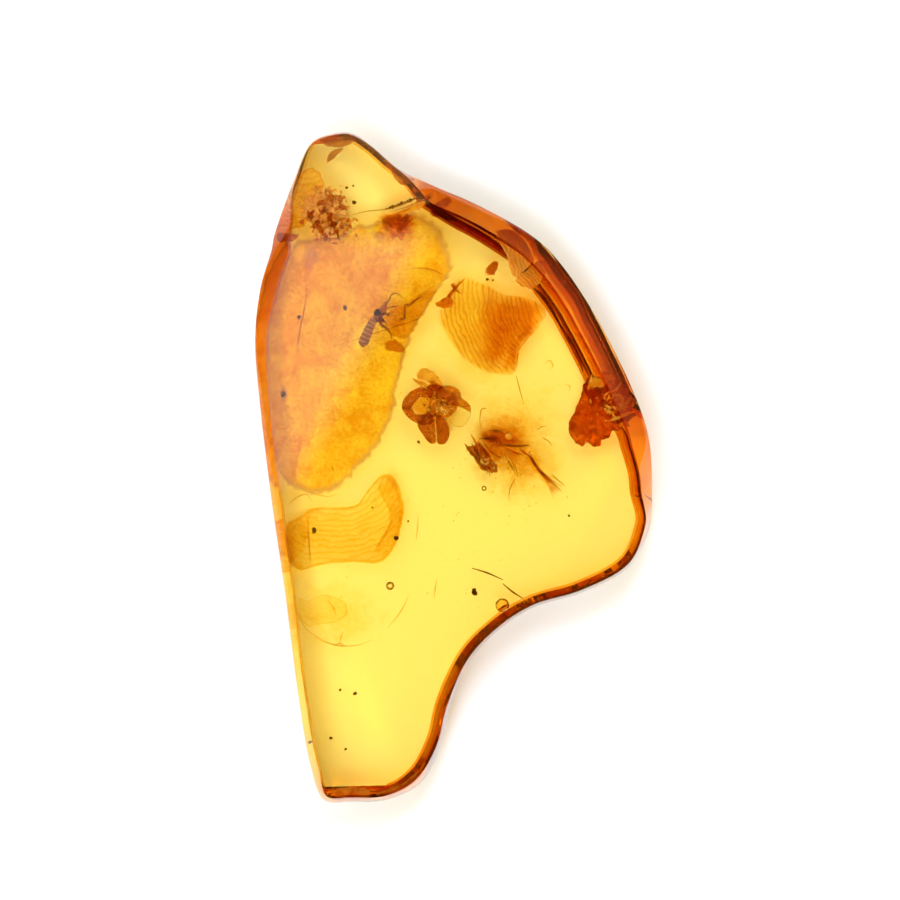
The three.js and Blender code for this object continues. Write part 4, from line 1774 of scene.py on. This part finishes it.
@dataclass(frozen=True)
class BrokenInsect:
    """What is left of a larger insect: a dark body, a torn wedge, a bundle of legs and loose hairs."""

    level: float = 3.0
    bark: FossilTissue = FossilTissue(
        "torn_shell", (0.72, 0.26, 0.03), (0.30, 0.06, 0.006), clear=0.8, grain=2.4, sheen=0.2, density=1.05
    )

    def build_stains(self) -> None:
        """Makes the orange and brown stains that have bled out of the body."""
        z = self.level
        stains = (
            Sheet(
                "remains_haze",
                (
                    (0.9, 3.2), (2.1, 4.1), (3.5, 3.9), (4.7, 3.0), (5.4, 1.6), (5.6, 0.1), (5.2, -1.5),
                    (3.8, -2.2), (2.3, -1.9), (1.1, -0.4), (0.6, 1.4),
                ),
                z - 0.6, HAZE, ripple=0.2,
            ),
            Sheet(
                "remains_stain",
                (
                    (0.9, 2.0), (1.4, 2.7), (2.3, 2.9), (3.4, 2.5), (4.2, 1.7), (4.4, 0.8), (3.7, 0.0),
                    (2.7, 0.2), (2.0, -0.3), (1.3, 0.6),
                ),
                z - 0.3, STAIN, ripple=0.2, jag=0.1,
            ),
            Sheet(
                "remains_body",
                (
                    (1.1, 1.5), (1.4, 2.1), (2.1, 2.3), (2.9, 2.1), (3.6, 1.6), (4.0, 1.35), (3.3, 1.05),
                    (2.4, 1.0), (1.6, 1.0),
                ),
                z, DARK_STAIN, jag=0.1, steps=7,
            ),
            Sheet(
                "remains_core", ((1.45, 1.45), (1.6, 1.75), (2.1, 1.8), (2.6, 1.65), (2.5, 1.4), (1.9, 1.3)),
                z + 0.1, DARK_STAIN, jag=0.08,
            ),
            Sheet(
                "leg_stain",
                (
                    (3.7, 0.9), (4.2, 0.75), (4.7, 0.1), (5.4, -0.8), (5.9, -1.35), (5.4, -1.5),
                    (4.8, -0.9), (4.2, -0.1), (3.7, 0.4),
                ),
                z - 0.2, STAIN, jag=0.1,
            ),
        )
        for stain in stains:
            stain.build()

    def build_shell(self) -> None:
        """Makes the hard bits: the torn wedge, the stalk of the body and their bubbles, with pale dots and
        painted glints on a bubble.
        """
        z = self.level
        wedge = (
            (0.55, 1.25), (1.0, 1.15), (1.3, 1.35), (1.7, 1.0), (2.0, 0.5), (2.35, 0.1), (2.3, -0.25),
            (2.05, -0.3), (1.9, 0.0), (1.7, -0.2), (1.5, -0.15), (1.2, 0.3), (0.85, 0.75),
        )
        Sheet("remains_wedge", wedge, z + 0.2, self.bark, thickness=0.34, jag=0.12, steps=7).build()
        z += 0.4
        stalks = (
            ((0.6, 1.24, z), (1.1, 0.62, z), (1.5, 0.15, z), (1.85, -0.25, z)),
            ((0.95, 1.3, z), (1.25, 0.8, z), (1.45, 0.4, z)),
            ((1.35, 1.55, z), (1.8, 1.58, z), (2.2, 1.48, z)),
            ((2.05, 1.98, z), (2.35, 1.98, z), (2.65, 1.9, z)),
            ((2.3, 1.28, z), (2.9, 1.2, z), (3.5, 1.16, z), (4.05, 1.22, z)),
        )
        Strands("remains_stalks", stalks, (0.02, 0.06, 0.055, 0.03), BROWN_FIBRE).build()
        strips = (
            ((1.3, 1.5, z), (1.6, 0.9, z), (1.95, 0.4, z), (2.2, -0.2, z)),
            ((1.6, 1.3, z), (2.1, 0.75, z), (2.6, 0.5, z)),
            ((0.9, 1.8, z), (1.25, 1.2, z), (1.45, 0.7, z)),
            ((3.5, 1.15, z), (3.8, 0.8, z), (4.1, 0.6, z), (4.2, 0.2, z)),
            ((2.9, 1.05, z), (3.3, 0.8, z), (3.7, 0.7, z)),
        )
        Strands("remains_strips", strips, (0.02, 0.06, 0.05, 0.015), RUSTY_FIBRE).build()
        bubbles = ((1.68, 0.38, z + 0.3, 0.26), (2.15, 0.0, z + 0.2, 0.14), (2.1, 0.3, z + 0.2, 0.1))
        Crumbs("remains_bubbles", bubbles, GAS, rough=0.05, detail=4).build()
        # The two larger drops are pale dots; the two small ones on the bubble are painted glints.
        dots_and_glints = (
            (2.95, 1.68, z, 0.2), (4.12, 0.78, z, 0.11), (1.6, 0.62, z + 0.45, 0.05),
            (1.85, 0.45, z + 0.5, 0.04),
        )
        Crumbs("remains_dots_and_glints", dots_and_glints, GOLD_FLECK_AND_GLINT, rough=0.2, detail=3).build()

    def build_legs(self) -> None:
        """Makes the bundle of legs and the loose hairs."""
        z = self.level
        legs = tuple(
            (
                (4.0 + 0.06 * i, 0.7 - 0.05 * i, z + 0.1),
                (4.45 + 0.05 * i, -0.02 - 0.03 * i, z),
                (5.0 + 0.07 * i, -0.75 + 0.02 * i, z + 0.06 * i),
                (5.35 + 0.12 * i, -1.6 + 0.14 * i, z + 0.1 * i),
            )
            for i in range(5)
        )
        Strands("remains_legs", legs, (0.03, 0.04, 0.03, 0.01), RUSTY_FIBRE).build()
        hairs = (
            ((1.75, 3.2, z), (1.5, 3.15, z), (1.4, 2.6, z), (1.47, 2.0, z)),
            ((2.7, 0.75, z), (3.05, 0.15, z), (3.4, -0.5, z)),
            ((2.95, 0.65, z), (3.35, -0.1, z), (3.45, -0.55, z)),
            ((3.3, -0.6, z), (3.02, -1.15, z), (2.95, -1.7, z)),
            ((2.8, 0.92, z), (3.0, 0.86, z), (3.25, 0.78, z)),
            ((4.45, 2.0, z), (4.7, 2.2, z), (5.0, 2.25, z)),
            ((4.8, 1.6, z), (5.1, 1.42, z), (5.3, 1.15, z)),
            ((1.75, 0.1, z), (1.9, -0.2, z), (1.95, -0.5, z)),
            ((5.3, -0.4, z), (5.7, -0.75, z), (6.0, -1.0, z)),
            ((4.9, -0.5, z + 0.2), (5.3, -0.8, z + 0.2), (5.75, -1.25, z + 0.2)),
            ((3.35, 5.0, z), (3.55, 4.2, z), (3.78, 3.4, z)),
        )
        Strands("remains_hairs", hairs, (0.02, 0.026, 0.01), BROWN_FIBRE).build()

    def build(self) -> None:
        """Makes the remains."""
        self.build_stains()
        self.build_shell()
        self.build_legs()


@dataclass(frozen=True)
class StrayBits:
    """Needles, grains, bubbles and the fine crack lines that lie about in the resin."""

    def build(self) -> None:
        """Makes the stray bits."""
        needles = (
            ((0.95, -5.42, 3.4), (1.8, -5.68, 3.5), (2.65, -6.06, 3.4)),
            ((2.62, -6.25, 3.2), (3.15, -6.7, 3.2), (3.72, -7.06, 3.1)),
        )
        Strands("needles", needles, (0.02, 0.045, 0.02), DARK_FIBRE).build()
        grains = (
            (1.1, -6.75, 3.4, 0.13), (1.08, -6.6, 3.4, 0.09), (-5.35, 14.2, 3.9, 0.10),
            (-5.75, 15.0, 4.0, 0.07), (-5.4, 15.1, 4.0, 0.05), (-5.83, 8.6, 4.3, 0.11),
            (-8.32, 8.1, 4.3, 0.10), (-9.15, 3.95, 4.5, 0.13), (-1.9, 1.38, 3.6, 0.07),
            (-4.37, -2.15, 3.2, 0.05), (-7.5, -3.4, 2.6, 0.13), (-3.1, -3.8, 2.7, 0.12),
            (-2.45, -2.9, 3.0, 0.05), (1.8, 10.15, 3.4, 0.07), (2.1, 10.1, 3.4, 0.05),
            (6.2, -2.6, 3.0, 0.06), (-5.3, -12.2, 3.0, 0.09), (-6.1, -12.0, 3.1, 0.06),
            (-6.6, -14.6, 3.2, 0.07), (-5.8, -15.2, 3.0, 0.06),
        )
        Crumbs("dark_grains", grains, DARK_FIBRE, (1.0, 1.3, 0.9)).build()
        Crumbs(
            "gas_bubbles", ((-3.42, -6.38, 3.5, 0.23), (1.62, -1.12, 3.5, 0.14)), GAS, rough=0.02, detail=4
        ).build()
        amber_gas = TrappedGas("stained_gas", (0.96, 0.62, 0.18), bend=0.80)
        Crumbs("stained_bubble", ((2.6, -7.42, 3.3, 0.38),), amber_gas, rough=0.04, detail=4).build()
        z = 2.6
        cracks = (
            (
                (-7.9, -8.7, z), (-7.3, -9.2, z), (-6.6, -9.52, z), (-5.8, -9.65, z), (-5.0, -9.55, z),
                (-4.4, -9.3, z),
            ),
            ((-6.45, -9.68, z), (-6.15, -9.5, z), (-5.75, -9.68, z)),
            ((-6.12, -9.5, z), (-6.05, -9.15, z), (-5.9, -8.85, z)),
            ((-8.75, -7.1, z), (-8.3, -8.1, z), (-7.75, -8.95, z)),
            ((-6.9, -7.1, z), (-6.45, -7.55, z), (-6.3, -8.05, z)),
            ((-3.55, -8.65, z), (-2.9, -7.85, z), (-2.4, -6.9, z)),
            ((-1.9, -2.5, z), (-1.95, -3.3, z), (-2.05, -4.0, z)),
            ((-0.9, -6.0, z), (-1.0, -6.5, z), (-1.05, -7.1, z)),
            ((-8.9, -2.0, z), (-8.4, -1.6, z), (-7.9, -1.45, z), (-7.6, -1.8, z)),
            ((-7.75, -2.2, z), (-7.8, -3.3, z), (-7.75, -4.4, z), (-7.65, -5.3, z)),
            ((-6.65, 0.3, 3.9), (-6.5, 0.0, 3.9), (-6.45, -0.4, 3.9)),
            ((-8.3, -0.9, 3.6), (-7.6, -1.35, 3.6), (-6.8, -1.55, 3.6), (-6.2, -1.4, 3.6)),
            ((-2.9, 10.6, 4.0), (-2.0, 10.75, 4.0), (-1.0, 10.6, 4.0), (-0.4, 10.3, 4.0)),
            ((-7.9, 10.0, 4.0), (-7.95, 9.0, 4.0), (-8.25, 7.5, 4.0), (-8.4, 5.6, 4.0)),
            ((4.9, 5.6, z), (5.15, 5.8, z), (5.35, 5.5, z), (5.15, 5.3, z)),
            ((6.0, 4.5, z), (6.25, 4.4, z), (6.2, 4.1, z)),
        )
        Strands("crack_lines", cracks, (0.006, 0.03, 0.006), CRACK, sides=6).build()
        scratch = (((9.75, -1.5, 4.9), (10.1, -1.62, 4.9), (10.45, -1.75, 4.6)),)
        Strands("edge_crack", scratch, (0.03, 0.06, 0.04), BROWN_FIBRE).build()
        self.build_dust()

    def build_dust(self) -> None:
        """Scatters fine dust through the resin."""
        dice = random.Random(23)
        clouds = (
            (-5.0, 3.5, 2.0, 50), (-6.3, -4.0, 1.6, 24), (3.2, 0.8, 2.0, 60), (-6.4, 13.4, 1.0, 50),
            (0.5, -2.0, 3.0, 24),
        )
        places = tuple(
            (
                x + dice.gauss(0.0, spread) * 0.6, y + dice.gauss(0.0, spread), dice.uniform(1.5, 4.8),
                dice.uniform(0.012, 0.035),
            )
            for x, y, spread, count in clouds
            for _ in range(count)
        )
        Crumbs("fine_dust", places, BROWN_FIBRE, detail=1).build()


# ---------------------------------------------------------------- the studio


@dataclass(frozen=True)
class Patch:
    """A bright patch of the tent with soft borders.

    Each pair gives the angles, in degrees from straight above, where a border is
    dark and where it is fully bright; skew is how far the patch leans.
    """

    left: tuple[float, float]
    right: tuple[float, float]
    low: tuple[float, float]
    high: tuple[float, float]
    level: float
    skew: float = 0.0


@dataclass(frozen=True)
class Panel:
    """A soft light panel: the angles it spans across X and along Y, its brightness and its tint."""

    name: str
    across: tuple[float, float]
    along: tuple[float, float]
    level: float
    colour: Colour


@dataclass
class Studio:
    """Paper, soft light from all round and the camera straight above.

    horizon is the tent's brightness low down, as a share of its full brightness, and
    opening the angles from straight above between which the hole in its top ends.
    panel_height is in metres; floor_drop, floor_reach, view_width and view_centre are
    in millimetres; lens and sensor are the camera's.
    """

    paper: StudioPaper = field(default_factory=StudioPaper)
    tent_light: Colour = (1.04, 0.81, 0.26)
    horizon: float = 0.2
    opening: tuple[float, float] = (12.0, 22.0)
    patches: tuple[Patch, ...] = (
        Patch((-26.0, -20.0), (-6.8, -9.2), low=(-0.45, -0.3), high=(2.1, 1.8), level=2.0, skew=3.0),
    )
    panels: tuple[Panel, ...] = (
        Panel("left_panel", (-27.0, -12.5), (-10.0, 20.0), 5.6, (0.74, 0.93, 1.24)),
        Panel("far_panel", (-3.2, 7.0), (12.5, 30.0), 26.0, (0.74, 0.92, 1.24)),
        Panel("near_panel", (-15.0, 5.0), (-24.0, -8.0), 16.0, (0.74, 0.93, 1.24)),
    )
    panel_height: float = 0.5
    floor_drop: float = 0.06
    floor_reach: float = 1500.0
    view_width: float = 48.72
    view_centre: tuple[float, float] = (-0.217, 0.947)
    lens: float = 250.0
    sensor: float = 36.0

    def build_floor(self) -> None:
        """Lays the paper a hair below the slab."""
        bm = bmesh.new()
        bmesh.ops.create_grid(bm, x_segments=4, y_segments=4, size=self.floor_reach)
        bmesh.ops.translate(bm, vec=Vector((0.0, 0.0, -self.floor_drop)), verts=bm.verts)
        finished("studio_floor", bm, self.paper.material())

    def build_tent(self) -> None:
        """Surrounds the scene with a light tent that is open at the top, where the camera looks in."""
        world = bpy.data.worlds.new("light_tent")
        world.use_nodes = True
        space = NodeSpace(world.node_tree)
        x, y, z = space.parts(space.node("ShaderNodeTexCoord").outputs["Generated"])
        above = z.most(0.05)
        across, along = (math.degrees(1.0) * t for t in (x / above, y / above))
        off_centre = (across * across + along * along) ** 0.5
        wall = z.step(0.05, 0.75) * (1.0 - self.horizon) + self.horizon
        wall = wall * off_centre.step(*self.opening)
        glow = Term(space, 0.0)
        for patch in self.patches:
            leaning = across - along * patch.skew
            shape = across.step(*patch.left) * leaning.step(*patch.right)
            glow = shape * along.step(*patch.low) * along.step(*patch.high) * patch.level + glow
        background = world.node_tree.nodes["Background"]
        light = space.joined(*(wall * share + glow for share in self.tent_light))
        space.feed(background.inputs["Color"], light)
        bpy.context.scene.world = world

    def add_panel(self, panel: Panel) -> None:
        """Hangs a soft light panel level over the slab.

        Args:
            panel: where it hangs and how bright it is.
        """
        edges = [self.panel_height * math.tan(math.radians(angle)) for angle in (*panel.across, *panel.along)]
        light = bpy.data.lights.new(panel.name, "AREA")
        light.shape = "RECTANGLE"
        light.size, light.size_y = edges[1] - edges[0], edges[3] - edges[2]
        light.color = panel.colour
        light.energy = panel.level * math.pi * light.size * light.size_y
        lamp = bpy.data.objects.new(panel.name, light)
        lamp.location = ((edges[0] + edges[1]) / 2, (edges[2] + edges[3]) / 2, self.panel_height)
        bpy.context.scene.collection.objects.link(lamp)

    def build_camera(self) -> None:
        """Sets a long lens straight above the slab."""
        data = bpy.data.cameras.new("camera")
        data.lens = self.lens
        data.sensor_width = self.sensor
        data.clip_start = 0.01
        camera = bpy.data.objects.new("camera", data)
        reach = self.view_width * MM * self.lens / self.sensor
        x, y = self.view_centre
        camera.location = (x * MM, y * MM, THICKNESS * MM / 2 + reach)
        bpy.context.scene.collection.objects.link(camera)
        bpy.context.scene.camera = camera

    def build(self) -> None:
        """Sets the whole studio up."""
        self.build_floor()
        self.build_tent()
        for panel in self.panels:
            self.add_panel(panel)
        self.build_camera()
        scene = bpy.context.scene
        scene.view_settings.view_transform = "Standard"
        scene.cycles.use_denoising = True
        scene.cycles.blur_glossy = 0.0


def main() -> None:
    """Builds every piece in order."""
    logging.basicConfig(level=logging.INFO, format="%(message)s")
    noise.seed_set(JAG_SEED)
    Studio().build()
    slab = ResinSlab()
    slab.build()
    slab.build_rim()
    for kind in (FractureVeils, RibbedFan, BurntScraps, Insect, Flower, BrokenInsect, StrayBits):
        kind().build()


if __name__ == "__main__":
    main()
